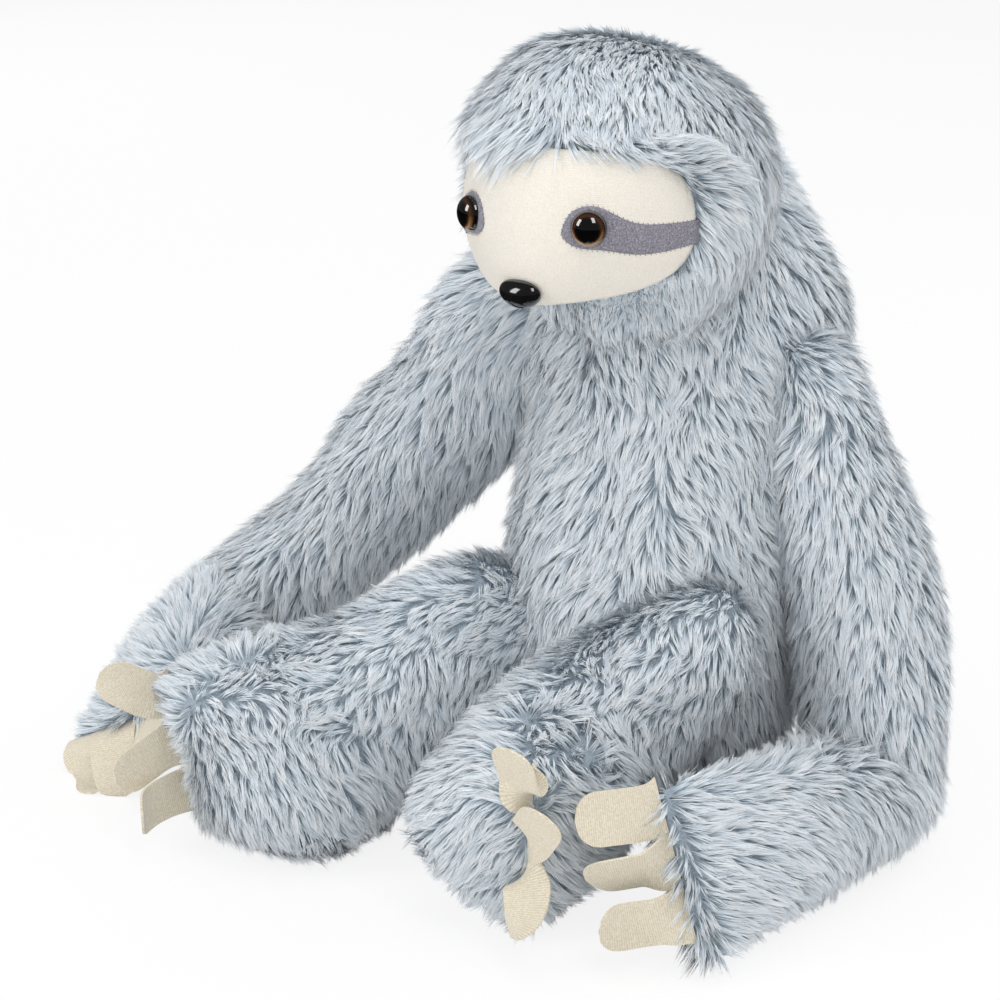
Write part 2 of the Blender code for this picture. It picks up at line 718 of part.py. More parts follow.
def leg_places(side):
    """The stations of the left leg or of the right."""
    if side > 0.0:
        return leg_stations(HIP, LEFT_KNEE, LEFT_FOOT_END, LEFT_FOOT_SEAM)
    return leg_stations(Vector((-HIP.x, HIP.y, HIP.z)), RIGHT_KNEE, RIGHT_FOOT_END, RIGHT_FOOT_SEAM)


def make_leg(word, side, bend, finishes, floor):
    """One leg with the claws in its foot's seam."""
    stations = leg_places(side)
    hip = Vector((side * HIP.x, HIP.y, HIP.z))
    first = stations[0][1]
    pieces = make_limb(word + "_leg", stations, finishes, (floor,), (hip - first * HIP_RADIUS, None))
    cut(pieces[0], rod(word + "_hip_mouth", hip - first * (HIP_RADIUS + FUR_WALL), first, HIP_MOUTH_DEPTH,
                       HIP_MOUTH_RADIUS, LIMB_SIDES))
    for piece in pieces:
        moved_to(piece, hip)
    make_claws(word + "_foot_claws", stations, FOOT_CLAW_RISE, bend, FOOT_CLAW_SHARE, finishes["felt"])


def main():
    for old in list(bpy.data.objects):
        bpy.data.objects.remove(old)
    finishes = {
        "fur": material("fur_cloth", FUR_COLOUR, 0.9),
        "fill": material("polyester_stuffing", FILL_COLOUR, 1.0),
        "knit": material("ivory_knit", KNIT_COLOUR, 0.9),
        "patch": material("lilac_velour", PATCH_COLOUR, 0.9),
        "felt": material("beige_felt", FELT_COLOUR, 0.95),
        "amber": material("amber_eye", AMBER_COLOUR, 0.1),
        "black": material("black_nose", BLACK_COLOUR, 0.2),
        "washer": material("white_washer", WASHER_COLOUR, 0.5),
    }
    floor = floor_cutter()
    neck_reach = (HEAD_RADIUS + TURN_GAP) / math.cos(math.pi / HEAD_SIDES)
    torso_cutters = [floor, ball("neck_socket", neck_reach)]
    for side, word in ((1.0, "left"), (-1.0, "right")):
        torso_cutters.append(flank_cutter(word + "_flank", side, FLANK_HALF_WIDTH, OVERRUN))
        hip = Vector((side * HIP.x, HIP.y, HIP.z))
        torso_cutters.append(hip_clearance(word + "_hip_space", hip, leg_places(side)))
    make_torso(finishes["fur"], finishes["fill"], torso_cutters)
    make_head(finishes)
    make_arm("left", 1.0, LEFT_ELBOW, LEFT_HAND_END, LEFT_HAND_SEAM, LEFT_HAND_CLAW_RISE, LEFT_HAND_CLAWS,
             finishes, floor)
    make_arm("right", -1.0, RIGHT_ELBOW, RIGHT_HAND_END, RIGHT_HAND_SEAM, 0.0, RIGHT_HAND_CLAWS,
             finishes, floor)
    make_leg("left", 1.0, LEFT_FOOT_CLAWS, finishes, floor)
    make_leg("right", -1.0, RIGHT_FOOT_CLAWS, finishes, floor)


main()
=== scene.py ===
"""The looks of the plush sloth: fur cloth skins with their pile, a knit face with safety eyes and a nose,
velour eye patches and felt claws. Lengths are in metres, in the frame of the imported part."""
from math import atan2, cos, exp, hypot, pi, radians, sin, sqrt, tau

import bpy
import numpy as np
from mathutils import Matrix, Vector
from mathutils.bvhtree import BVHTree
from mathutils.kdtree import KDTree


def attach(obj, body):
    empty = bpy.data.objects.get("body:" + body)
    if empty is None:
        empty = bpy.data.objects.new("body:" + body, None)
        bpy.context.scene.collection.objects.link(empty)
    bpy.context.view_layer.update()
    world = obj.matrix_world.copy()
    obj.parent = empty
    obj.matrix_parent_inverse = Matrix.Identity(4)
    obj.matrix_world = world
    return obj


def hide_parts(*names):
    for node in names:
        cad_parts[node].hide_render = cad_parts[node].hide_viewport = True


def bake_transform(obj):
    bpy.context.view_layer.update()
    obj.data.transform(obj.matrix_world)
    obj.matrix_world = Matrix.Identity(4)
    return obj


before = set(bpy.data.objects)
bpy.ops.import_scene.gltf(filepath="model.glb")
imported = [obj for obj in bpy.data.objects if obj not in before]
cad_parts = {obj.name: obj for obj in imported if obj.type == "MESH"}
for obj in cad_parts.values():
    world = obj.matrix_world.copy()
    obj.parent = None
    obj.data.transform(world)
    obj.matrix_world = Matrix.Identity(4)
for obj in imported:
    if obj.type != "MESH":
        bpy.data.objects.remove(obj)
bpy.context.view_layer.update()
bpy.ops.object.select_all(action="DESELECT")

X_AXIS = Vector((1.0, 0.0, 0.0))
Y_AXIS = Vector((0.0, 1.0, 0.0))
Z_AXIS = Vector((0.0, 0.0, 1.0))
FLOOR_GAP = 0.0004


def sides(left, right):
    """A point or a way of each side's limb."""
    return {"left": Vector(left), "right": Vector(right)}


# Camera: where it looks, from how far, and how wide the view is there
CAMERA_AZIMUTH = radians(40.0)
CAMERA_ELEVATION = radians(20.0)
CAMERA_DISTANCE = 1.8
CAMERA_TARGET = Vector((-0.0994, -0.0104, 0.1536))
VIEW_WIDTH = 0.545
SENSOR_WIDTH = 36.0

# The cloth under the pile lies this far inside the solids, which stand at about 60 percent of its height
PILE_INSET = 0.0034
SKIN_SIDES = 32
LEAST_HALF = 0.0016

# Torso, the same pear as the solid
TORSO_HEIGHT = 0.388
TORSO_HALF_WIDTH = 0.078
TORSO_HALF_DEPTH = 0.080
TORSO_LEAN = 0.053
TORSO_SHARES = (
    (0.00, 0.62, 0.60, 0.00), (0.03, 0.80, 0.78, -0.01), (0.08, 0.92, 0.90, -0.04),
    (0.15, 0.99, 0.97, -0.07), (0.25, 1.00, 1.00, -0.08), (0.37, 1.00, 1.00, -0.02),
    (0.49, 0.99, 0.98, 0.12), (0.60, 0.97, 0.94, 0.32), (0.70, 0.92, 0.86, 0.50),
    (0.79, 0.80, 0.72, 0.62), (0.87, 0.64, 0.57, 0.68), (0.94, 0.45, 0.40, 0.70),
    (0.985, 0.22, 0.21, 0.70),
)

# Head and face
HEAD_RADIUS = 0.077
HEAD_TURN = radians(3.0)
HEAD_TILT = radians(-3.0)
HEAD_CENTRE = Vector((0.0, -0.042, 0.347))
HEAD_FRAME = Matrix.Rotation(HEAD_TURN, 3, "Z") @ Matrix.Rotation(HEAD_TILT, 3, "Y")
FACE_RADIUS = 0.0715
FACE_SWELL = 0.0070
SNOUT_SWELL = 0.0055
FACE_HALF_SPAN = radians(71.5)
FACE_HALF_RISE = radians(30.0)
FACE_LEVEL = radians(1.5)
FACE_CORNER = 3.1
KNIT_WALL = 0.0012
KNIT_TUCK = 0.004
# How far the hood draws in, under the knit and below the chin
HOOD_TUCK = 0.0085
CHIN_TUCK = 0.018
SWELL_DROP = radians(-8.0)
SNOUT_DROP = radians(-24.0)
NOSE_DROP = radians(-21.7)
SNOUT_SPREAD = radians(18.0)
EYE_TURN = radians(27.2)
EYE_RISE = radians(1.9)
# The patch's edge as turn and rise in degrees: above and below, from the nose's side to the hood
PATCH_UPPER = ((17.2, -0.2), (17.6, 2.2), (18.6, 5.0), (20.2, 7.3), (22.4, 9.0), (25.0, 10.0), (27.8, 10.3),
               (30.4, 9.9), (33.0, 8.9), (36.0, 7.3), (39.5, 5.2), (43.0, 3.6), (47.0, 2.5), (52.0, 1.9),
               (58.0, 1.5), (64.0, 1.2), (71.0, 1.0))
PATCH_LOWER = ((17.2, -0.2), (17.7, -1.6), (18.9, -3.2), (20.8, -4.6), (23.5, -5.7), (27.0, -6.3),
               (31.0, -6.7), (35.0, -7.4), (39.5, -8.5), (44.0, -9.4), (49.0, -9.8), (56.0, -9.7),
               (63.0, -9.2), (71.0, -8.7))
PATCH_HEIGHT = 0.0012
PATCH_SUNK = 0.0004
STITCH_RADIUS = 0.00015
STITCH_LENGTH = 0.0008
STITCH_GAPS = (0.0031, 0.0024, 0.0024)
STITCH_LIFT = 0.0001
# The patch's end under the hood is longer than this, and isn't stitched
UNSTITCHED_SPAN = 0.012
EYE_RADIUS = 0.0090
EYE_HEIGHT = 0.0068
EYE_RIM = 0.0020
EYE_LIFT = 0.0006
NOSE_HALF_WIDTH = 0.0118
NOSE_HALF_HEIGHT = 0.0082
NOSE_HEIGHT = 0.0080
NOSE_RIM = 0.0030
NOSE_LIFT = 0.0002

# Arms
ARM_RADIUS = 0.036
SHOULDER_RADIUS = 0.028
SHOULDERS = sides((0.077, 0.030, 0.246), (-0.077, 0.030, 0.246))
ELBOWS = sides((0.124, 0.031, 0.0355), (-0.263, -0.044, 0.058))
HAND_ENDS = sides((0.128, -0.145, 0.050), (-0.240, -0.164, 0.033))
HAND_SEAMS = sides((-0.38, 0.0, 0.92), (0.53, 0.70, 0.48))
# The elbow's ovals: how far above, out of and below its middle, and how much wider it is across the bend
ELBOW_ABOVE = 0.020
ELBOW_OUT = 0.004
ELBOW_BELOW = 0.022
ELBOW_SHARE = 1.14
# Ovals down the upper arm: each one's share of the way from shoulder to elbow, and how far it has filled out
# from the shoulder's radius to the arm's
ARM_SHARES = ((0.15, 0.55), (0.32, 0.90), (0.50, 1.00), (0.70, 1.00))
HAND_SHARES = ((0.30, 1.00, 1.02), (0.50, 0.98, 1.10), (0.70, 0.84, 1.18), (0.86, 0.58, 1.25),
               (0.96, 0.28, 1.30), (1.00, 0.10, 1.30))

# Legs
LEG_RADIUS = 0.052
HIP_RADIUS = 0.038
HIPS = sides((0.048, -0.052, 0.096), (-0.048, -0.052, 0.096))
KNEES = sides((0.002, -0.124, 0.068), (-0.092, -0.142, 0.068))
FOOT_ENDS = sides((0.060, -0.178, 0.050), (-0.163, -0.203, 0.050))
FOOT_SEAMS = sides((0.0, 0.0, 1.0), (0.15, 0.13, 0.98))
LEG_SHARES = ((0.12, 0.81, 0.92), (0.28, 0.84, 0.96), (0.44, 0.88, 0.98), (0.60, 0.95, 1.00),
              (0.74, 0.99, 1.01), (0.86, 0.88, 0.99), (0.95, 0.60, 0.92), (0.99, 0.28, 0.86),
              (1.00, 0.10, 0.82))

# Where the stuffing swells the covers past plain ovals: the middle of each swell, its reach and its move
SWELLS = {
    "hood": (((0.052, 0.000, 0.365), 0.080, (0.0055, 0.0045, 0.001)),
             ((0.0, -0.042, 0.424), 0.070, (0.0, 0.0, 0.004)),
             ((-0.040, -0.098, 0.385), 0.050, (-0.004, -0.004, 0.006)),
             ((-0.045, -0.050, 0.415), 0.060, (-0.0060, -0.0030, 0.0065)),
             ((0.035, 0.012, 0.405), 0.070, (0.0018, 0.0030, 0.0030))),
    "torso": (((0.060, 0.045, 0.290), 0.060, (0.006, 0.006, 0.004)),
              ((0.072, 0.055, 0.268), 0.050, (0.009, 0.004, 0.000)),
              ((0.012, -0.045, 0.282), 0.060, (0.000, -0.015, 0.010)),
              ((-0.060, -0.010, 0.280), 0.060, (-0.008, -0.008, 0.006))),
    "left_arm": (((0.131, 0.054, 0.135), 0.105, (0.0100, 0.0085, 0.0)),
                 ((0.088, 0.036, 0.276), 0.050, (-0.003, -0.002, 0.003))),
    "right_arm": (((-0.105, -0.005, 0.275), 0.085, (-0.030, -0.023, 0.036)),
                  ((-0.165, -0.020, 0.205), 0.090, (-0.010, -0.008, 0.014))),
    "left_leg": (((0.072, -0.055, 0.130), 0.070, (0.016, 0.004, 0.032)),
                 ((0.005, -0.180, 0.050), 0.060, (-0.010, -0.008, 0.002))),
    "right_leg": (((-0.055, -0.085, 0.125), 0.080, (0.0, 0.0, 0.017)),
                  ((-0.087, -0.148, 0.022), 0.065, (0.002, -0.008, -0.016)),
                  ((-0.085, -0.190, 0.025), 0.060, (0.008, -0.012, 0.0)),
                  ((-0.163, -0.203, 0.050), 0.055, (0.0075, 0.0065, 0.0018)),
                  ((-0.160, -0.230, 0.005), 0.050, (0.006, 0.016, 0.006))),
}

# Claws: the felt's sizes, with its cords' spacing in millimetres. CLAW_BEND is how soon a finger has taken
# its own set on the way to its tip.
CLAW_LENGTH = 0.046
CLAW_WIDTH = 0.027
CLAW_PITCH = 0.031
CLAW_WEB = 0.007
CLAW_STEPS = 32
CLAW_BEND = 2.4
FELT_WALL = 0.0012
FELT_CORDS = 1.1
FELT_MERGE = 0.0002
FELT_EDGE = radians(50.0)
FOOT_CLAW_SHARE = 0.93
# Each paw's strip: its bend about the seam in degrees, how deep its edge sits in the paw's end, and its
# fingers from the low one to the high one. A finger has its place along the seam and its own set in degrees:
# turned further about the seam, leaned along it, twisted about itself and curled.
CLAWS = {
    "left_hand": (-28.0, 0.0, ((-0.0187, (-43.0, 5.0, -26.0, 25.0)), (0.0080, (-15.0, 4.0, -48.0, -16.0)),
                               (0.0347, (4.0, 10.0, 0.0, -8.0)))),
    "right_hand": (2.0, 0.0, ((-0.031, (73.0, 29.0, -5.0, -41.0)), (0.0, (40.0, 0.0, -25.0, 25.0)),
                              (0.031, (30.0, 0.0, 10.0, 10.0)))),
    "left_foot": (-20.0, 0.0, ((-0.0006, (29.0, -38.0, -62.0, -38.0)), (0.0190, (35.0, 58.0, 30.0, 5.0)),
                               (0.0455, (-52.0, 74.0, -67.0, 4.0)))),
    "right_foot": (18.0, 0.009, ((-0.0204, (2.0, -2.0, -9.0, 44.0)), (0.0070, (8.0, -17.0, -8.0, 3.0)),
                                 (0.0344, (14.0, 42.0, -10.0, -18.0)))),
}

# Pile: polyester fur about 15 mm long; its strands gather in fine locks, and the locks in pointed tufts
PILE_LENGTH = 0.0145
LOCK_SPACING = 0.0023
HEAD_SPACING = 0.0019
LOCK_STRANDS = 7
LOCK_RADIUS = 0.0014
TUFT_SPACING = 0.0050
TUFT_PULL = 0.52
HEAD_PULL = 0.36
STRAND_WIDTH = 0.00056
STRAND_LOOSE = 0.0006
ROOT_DEPTH = 0.0010
SOFT_SHARE = 0.8
TUFT_REACH = 0.008
# How deep the pile goes on inside the next piece, where a pose can bring it out: the torso's in the hood, and
# the others' in the torso
TORSO_DEPTH = 0.004
LIMB_DEPTH = 0.010
HOOD_DEPTH = 0.024


# Finishes

def colour(hex_value):
    """Turns an sRGB hex value to the linear colour that a shader takes."""
    channels = [int(hex_value[i:i + 2], 16) / 255 for i in (1, 3, 5)]
    return [c / 12.92 if c <= 0.04045 else ((c + 0.055) / 1.055) ** 2.4 for c in channels] + [1.0]


def add_node(tree, kind, settings=None, links=None):
    """Adds a shader node, sets its properties and inputs, and links what feeds it."""
    made = tree.nodes.new("ShaderNode" + kind)
    for key, value in (settings or {}).items():
        if isinstance(key, str) and hasattr(made, key):
            setattr(made, key, value)
        else:
            made.inputs[key].default_value = value
    for key, source in (links or {}).items():
        tree.links.new(source, made.inputs[key])
    return made


def finish_of(name, settings):
    """A material with its shader's plain values set, its nodes and its shader."""
    made = bpy.data.materials.new(name)
    made.use_nodes = True
    tree = made.node_tree
    shader = tree.nodes["Principled BSDF"]
    for key, value in settings.items():
        shader.inputs[key].default_value = value
    return made, tree, shader


def ramp(tree, source, stops):
    """A colour ramp over a value."""
    made = add_node(tree, "ValToRGB", links={"Fac": source})
    elements = made.color_ramp.elements
    while len(elements) < len(stops):
        elements.new(0.5)
    for element, (place, tint) in zip(elements, stops):
        element.position = place
        element.color = colour(tint)
    return made.outputs["Color"]


def bump(tree, shader, height, distance, strength):
    """Lets a height stand up in the shader's normal."""
    made = add_node(tree, "Bump", {"Distance": distance, "Strength": strength}, {"Height": height})
    tree.links.new(made.outputs["Normal"], shader.inputs["Normal"])


def noise(tree, scale, detail):
    """Fine grain that is fixed to the piece."""
    place = add_node(tree, "TexCoord")
    return add_node(tree, "TexNoise", {"Scale": scale, "Detail": detail},
                    {"Vector": place.outputs["Object"]}).outputs["Fac"]


def laid_out(tree, name):
    """A piece's own map and its two ways."""
    place = add_node(tree, "UVMap", {"uv_map": name}).outputs["UV"]
    parts = add_node(tree, "SeparateXYZ", links={0: place})
    return place, parts.outputs["X"], parts.outputs["Y"]


def summed(tree, source, factor, added):
    """A value times a factor, plus another value."""
    return add_node(tree, "Math", {"operation": "MULTIPLY_ADD", 1: factor},
                    {0: source, 2: added}).outputs[0]


def multiplied(tree, share, first, second):
    """One colour tinted by another."""
    return add_node(tree, "Mix", {"data_type": "RGBA", "blend_type": "MULTIPLY", 0: share},
                    {6: first, 7: second}).outputs[2]


def grained_finish(name, settings, scale, detail, stops, relief=None):
    """A finish whose tint wavers with its grain. The relief is how far and how strongly that stands up."""
    made, tree, shader = finish_of(name, settings)
    grain = noise(tree, scale, detail)
    tree.links.new(ramp(tree, grain, stops), shader.inputs["Base Color"])
    if relief:
        bump(tree, shader, grain, *relief)
    return made


def fur_finish():
    """Long pile polyester: slate at the root, frosted pale blue grey towards the tip, with a soft sheen. The
    slate root is partly the fibre's own tone and partly painted shade for the gaps between the locks.
    """
    made, tree, shader = finish_of("long_pile_polyester_fur", {
        "Roughness": 0.6, "Specular IOR Level": 0.4, "Sheen Weight": 0.6, "Sheen Roughness": 0.45})
    _, strand, reach = laid_out(tree, "OFBake")
    # Darker towards the root: partly the fibre's own frosted tone, partly painted shade in the deep gaps
    # between locks
    along = ramp(tree, reach, ((0.0, "#97a4b0"), (0.3, "#d3dde4"), (0.6, "#f3f7fa"), (1.0, "#fdfeff")))
    tone = ramp(tree, strand, ((0.0, "#dbe3ea"), (0.5, "#f4f8fb"), (1.0, "#ffffff")))
    tree.links.new(multiplied(tree, 1.0, along, tone), shader.inputs["Base Color"])
    return made


def knit_finish():
    """Ivory short pile velour knit: fine courses under a soft nap, faintly uneven in tint."""
    made, tree, shader = finish_of("ivory_velour_knit", {
        "Roughness": 0.85, "Specular IOR Level": 0.25, "Sheen Weight": 0.3, "Sheen Roughness": 0.5})
    place = add_node(tree, "TexCoord")
    courses = add_node(tree, "TexWave", {
        "wave_type": "BANDS", "bands_direction": "Z", "Scale": 300.0, "Distortion": 2.2, "Detail": 2.0,
        "Detail Scale": 3.0}, {"Vector": place.outputs["Object"]})
    nap = noise(tree, 1100.0, 4.0)
    tint = ramp(tree, noise(tree, 34.0, 3.0), ((0.35, "#ece6dc"), (0.65, "#e8e4dc")))
    fleck = ramp(tree, nap, ((0.3, "#efe9e1"), (0.65, "#ffffff")))
    tree.links.new(multiplied(tree, 0.6, tint, fleck), shader.inputs["Base Color"])
    bump(tree, shader, summed(tree, courses.outputs["Fac"], 0.35, nap), 0.0005, 0.55)
    return made


def felt_finish():
    """Beige felt faced with fine ribbed velour: cords across each claw, under loose fibre. Its tint is darker
    in the cords' hollows and paler on their ridges, painted shade and light over the fibre's own speckle.
    """
    made, tree, shader = finish_of("beige_ribbed_felt", {
        "Roughness": 0.9, "Specular IOR Level": 0.2, "Sheen Weight": 0.3, "Sheen Roughness": 0.5})
    _, reach, _ = laid_out(tree, "claw_mm")
    phase = add_node(tree, "Math", {"operation": "MULTIPLY", 1: tau / FELT_CORDS}, {0: reach})
    cords = add_node(tree, "Math", {"operation": "SINE"}, {0: phase.outputs[0]})
    height = summed(tree, cords.outputs[0], 0.14, noise(tree, 900.0, 5.0))
    # Painted shade and light: the tint darkens in the cords' hollows and pales on their ridges, over the
    # fibre's speckle
    tree.links.new(ramp(tree, height, ((0.3, "#d1c5ac"), (0.5, "#ddd4c0"), (0.75, "#e9e2d2"))),
                   shader.inputs["Base Color"])
    bump(tree, shader, height, 0.0005, 0.6)
    return made


def eye_finish():
    """Clear domed polycarbonate over a painted iris: amber that pales to the outside, round a large black
    pupil, in a black rim. Low down the iris is painted paler still: painted light, standing in for light
    through the dome."""
    made, tree, shader = finish_of("domed_amber_plastic", {
        "Roughness": 0.06, "IOR": 1.5, "Coat Weight": 1.0, "Coat Roughness": 0.02, "Coat IOR": 1.8})
    place, _, up = laid_out(tree, "eye_plan")
    reach = add_node(tree, "VectorMath", {"operation": "LENGTH"}, {0: place}).outputs["Value"]
    iris = ramp(tree, reach, (
        (0.0, "#010101"), (0.60, "#020101"), (0.68, "#190c06"), (0.78, "#45260f"), (0.87, "#2f190b"),
        (0.93, "#080403"), (1.0, "#030202")))
    # Painted light: a lit, paler copy of the iris that takes over low down in the eye
    painted_lit_iris = ramp(tree, reach, (
        (0.0, "#010101"), (0.60, "#020101"), (0.70, "#3a2312"), (0.80, "#a88457"), (0.87, "#7a5632"),
        (0.93, "#0c0704"), (1.0, "#030202")))
    # The share of painted light, growing towards the eye's bottom
    low = add_node(tree, "MapRange", {1: 0.1, 2: -0.7, 3: 0.0, 4: 1.0}, {0: up})
    mixed = add_node(tree, "Mix", {"data_type": "RGBA"}, {0: low.outputs[0], 6: iris, 7: painted_lit_iris})
    tree.links.new(mixed.outputs[2], shader.inputs["Base Color"])
    return made


# Skins

def placed(name, data):
    """Puts new data in the scene as a piece."""
    made = bpy.data.objects.new(name, data)
    bpy.context.collection.objects.link(made)
    return made


def squared(along, ahead):
    """A seam's direction made square to its limb."""
    return (along - ahead * along.dot(ahead)).normalized()


def ring(centre, ahead, along, half_across, half_along):
    """One oval of the skin, drawn in from the solid by the pile's inset."""
    across = along.cross(ahead).normalized()
    return (centre, across, along, max(half_across - PILE_INSET, LEAST_HALF),
            max(half_along - PILE_INSET, LEAST_HALF))


def faced_out(merge=0.0):
    """Turns the active piece's faces outward and shades them smooth, once corners closer than merge are
    one."""
    bpy.ops.object.mode_set(mode="EDIT")
    bpy.ops.mesh.select_all(action="SELECT")
    if merge:
        bpy.ops.mesh.remove_doubles(threshold=merge)
    bpy.ops.mesh.normals_make_consistent(inside=False)
    bpy.ops.object.mode_set(mode="OBJECT")
    bpy.ops.object.shade_smooth()


def applied(piece, kind, **settings):
    """Puts a modifier on a piece and applies it."""
    made = piece.modifiers.new(kind.lower(), kind)
    for key, value in settings.items():
        setattr(made, key, value)
    bpy.ops.object.modifier_apply(modifier=made.name)


def joined(pieces, name):
    """Makes one piece of several, at the origin."""
    bpy.ops.object.select_all(action="DESELECT")
    for piece in pieces:
        piece.select_set(True)
    bpy.context.view_layer.objects.active = pieces[0]
    bpy.ops.object.transform_apply(location=True, rotation=True, scale=True)
    bpy.ops.object.join()
    made = bpy.context.active_object
    made.name = name
    return made


def mapped(piece, name, places):
    """Gives a piece a map, with each corner's place on it."""
    plan = piece.data.uv_layers.new(name=name)
    for loop in piece.data.loops:
        plan.data[loop.index].uv = places[loop.vertex_index]


def tree_of(skin):
    """A skin's faces, to ask what lies inside it."""
    mesh = skin.data
    return BVHTree.FromPolygons([v.co for v in mesh.vertices], [p.vertices[:] for p in mesh.polygons])


def stuffed_skin(name, rings, levels):
    """Bridges a row of ovals into one closed skin and smooths it. Then moves its corners round the middle of
    each of its swells, less and less to its reach."""
    ovals = []
    for centre, across, along, half_across, half_along in rings:
        bpy.ops.mesh.primitive_circle_add(vertices=SKIN_SIDES, radius=1.0)
        oval = bpy.context.active_object
        columns = (across * half_across, along * half_along, across.cross(along))
        oval.matrix_world = Matrix.Translation(centre) @ Matrix(columns).transposed().to_4x4()
        ovals.append(oval)
    skin = joined(ovals, name + "_skin")
    bpy.ops.object.mode_set(mode="EDIT")
    bpy.ops.mesh.select_all(action="SELECT")
    bpy.ops.mesh.bridge_edge_loops()
    bpy.ops.mesh.select_all(action="SELECT")
    bpy.ops.mesh.fill_holes(sides=0)
    bpy.ops.mesh.select_all(action="DESELECT")
    bpy.ops.mesh.select_face_by_sides(number=SKIN_SIDES)
    bpy.ops.mesh.poke()
    bpy.ops.object.mode_set(mode="OBJECT")
    faced_out()
    applied(skin, "SUBSURF", levels=levels, render_levels=levels)
    bpy.ops.object.select_all(action="DESELECT")
    for middle, reach, move in SWELLS[name]:
        for corner in skin.data.vertices:
            away = (corner.co - Vector(middle)).length / reach
            if away < 1.0:
                corner.co += Vector(move) * (1.0 - away * away) ** 2
    for corner in skin.data.vertices:
        corner.co.z = max(corner.co.z, ROOT_DEPTH)
    skin.data.update()
    return skin


def torso_skin():
    """The body's cover, from its flat seat to the neck."""
    rings = []
    for height, width, depth, lean in TORSO_SHARES:
        level = ROOT_DEPTH + height * (TORSO_HEIGHT - PILE_INSET - ROOT_DEPTH)
        rings.append((Vector((0.0, lean * TORSO_LEAN, level)), X_AXIS, Y_AXIS,
                      width * TORSO_HALF_WIDTH - PILE_INSET, depth * TORSO_HALF_DEPTH - PILE_INSET))
    return stuffed_skin("torso", rings, 1)


def hood_skin():
    """The hood's cover, a ball behind the face."""
    rings = []
    reach = HEAD_RADIUS - PILE_INSET
    for step in range(1, 14):
        rise = pi * step / 14 - pi / 2
        width = reach * cos(rise)
        rings.append((HEAD_CENTRE + Z_AXIS * reach * sin(rise), X_AXIS, Y_AXIS, width, width))
    skin = stuffed_skin("hood", rings, 2)
    # The hood draws in under the knit, and is flat below the chin
    places = np.array([corner.co[:] for corner in skin.data.vertices])
    turn, rise, outward = face_angles(places)
    sunk = (HOOD_TUCK * (1.0 - eased(outward, 0.90, 1.04))
            + CHIN_TUCK * chin_share(turn, rise) * eased(outward, 1.0, 1.1))
    for corner, depth in zip(skin.data.vertices, sunk):
        corner.co -= (corner.co - HEAD_CENTRE).normalized() * depth
    skin.data.update()
    return skin


def root_rings(middle, ahead, along, radius):
    """The round root of a limb, inside the body."""
    rings = []
    for angle in (30.0, 60.0, 90.0):
        turn = radians(angle)
        reach = radius * sin(turn)
        rings.append(ring(middle - ahead * radius * cos(turn), ahead, along, reach, reach))
    return rings


def arm_rings(word):
    """Ovals from over the shoulder, round the elbow, to the seam of the paw."""
    shoulder, elbow, end = SHOULDERS[word], ELBOWS[word], HAND_ENDS[word]
    down = (elbow - shoulder).normalized()
    out = (end - elbow).normalized()
    along = squared(Y_AXIS, down)
    rings = root_rings(shoulder, down, along, SHOULDER_RADIUS)
    for share, fullness in ARM_SHARES:
        reach = SHOULDER_RADIUS + fullness * (ARM_RADIUS - SHOULDER_RADIUS)
        rings.append(ring(shoulder.lerp(elbow, share), down, along, reach, reach))
    corner = (down - out).normalized()
    rings.append(ring(elbow - down * ELBOW_ABOVE, down, along, ARM_RADIUS, ARM_RADIUS))
    middle = (down + out).normalized()
    rings.append(ring(elbow + corner * ELBOW_OUT, middle, squared(corner, middle), ARM_RADIUS,
                      ARM_RADIUS * ELBOW_SHARE))
    seam = HAND_SEAMS[word].normalized()
    rings.append(ring(elbow + out * ELBOW_BELOW, out, squared(Z_AXIS.lerp(seam, 0.1), out), ARM_RADIUS,
                      ARM_RADIUS))
    for share, half_across, half_along in HAND_SHARES:
        direction = squared(Z_AXIS.lerp(seam, share), out)
        rings.append(ring(elbow.lerp(end, share), out, direction, ARM_RADIUS * half_across,
                          ARM_RADIUS * half_along))
    return rings


def leg_line(word, share):
    """A point on the leg's bent middle line and the way it runs there."""
    hip, knee, end = HIPS[word], KNEES[word], FOOT_ENDS[word]
    point = hip.lerp(knee, share).lerp(knee.lerp(end, share), share)
    return point, (knee - hip).lerp(end - knee, share).normalized()


def leg_rings(word):
    """Ovals from the hip in the seat to the seam of the foot."""
    hip, first = leg_line(word, 0.0)
    rings = root_rings(hip, first, squared(Z_AXIS, first), HIP_RADIUS)
    seam = FOOT_SEAMS[word].normalized()
    for share, half_across, half_along in LEG_SHARES:
        point, ahead = leg_line(word, share)
        rings.append(ring(point, ahead, squared(Z_AXIS.lerp(seam, share), ahead), LEG_RADIUS * half_across,
                          LEG_RADIUS * half_along))
    return rings


# Pile

def unit(rows):
    """Rows of vectors made one long."""
    return rows / np.maximum(np.linalg.norm(rows, axis=1, keepdims=True), 1e-9)


def flat_on(rows, normals):
    """Rows of vectors with what points out of the skin taken away."""
    return rows - normals * (rows * normals).sum(1, keepdims=True)


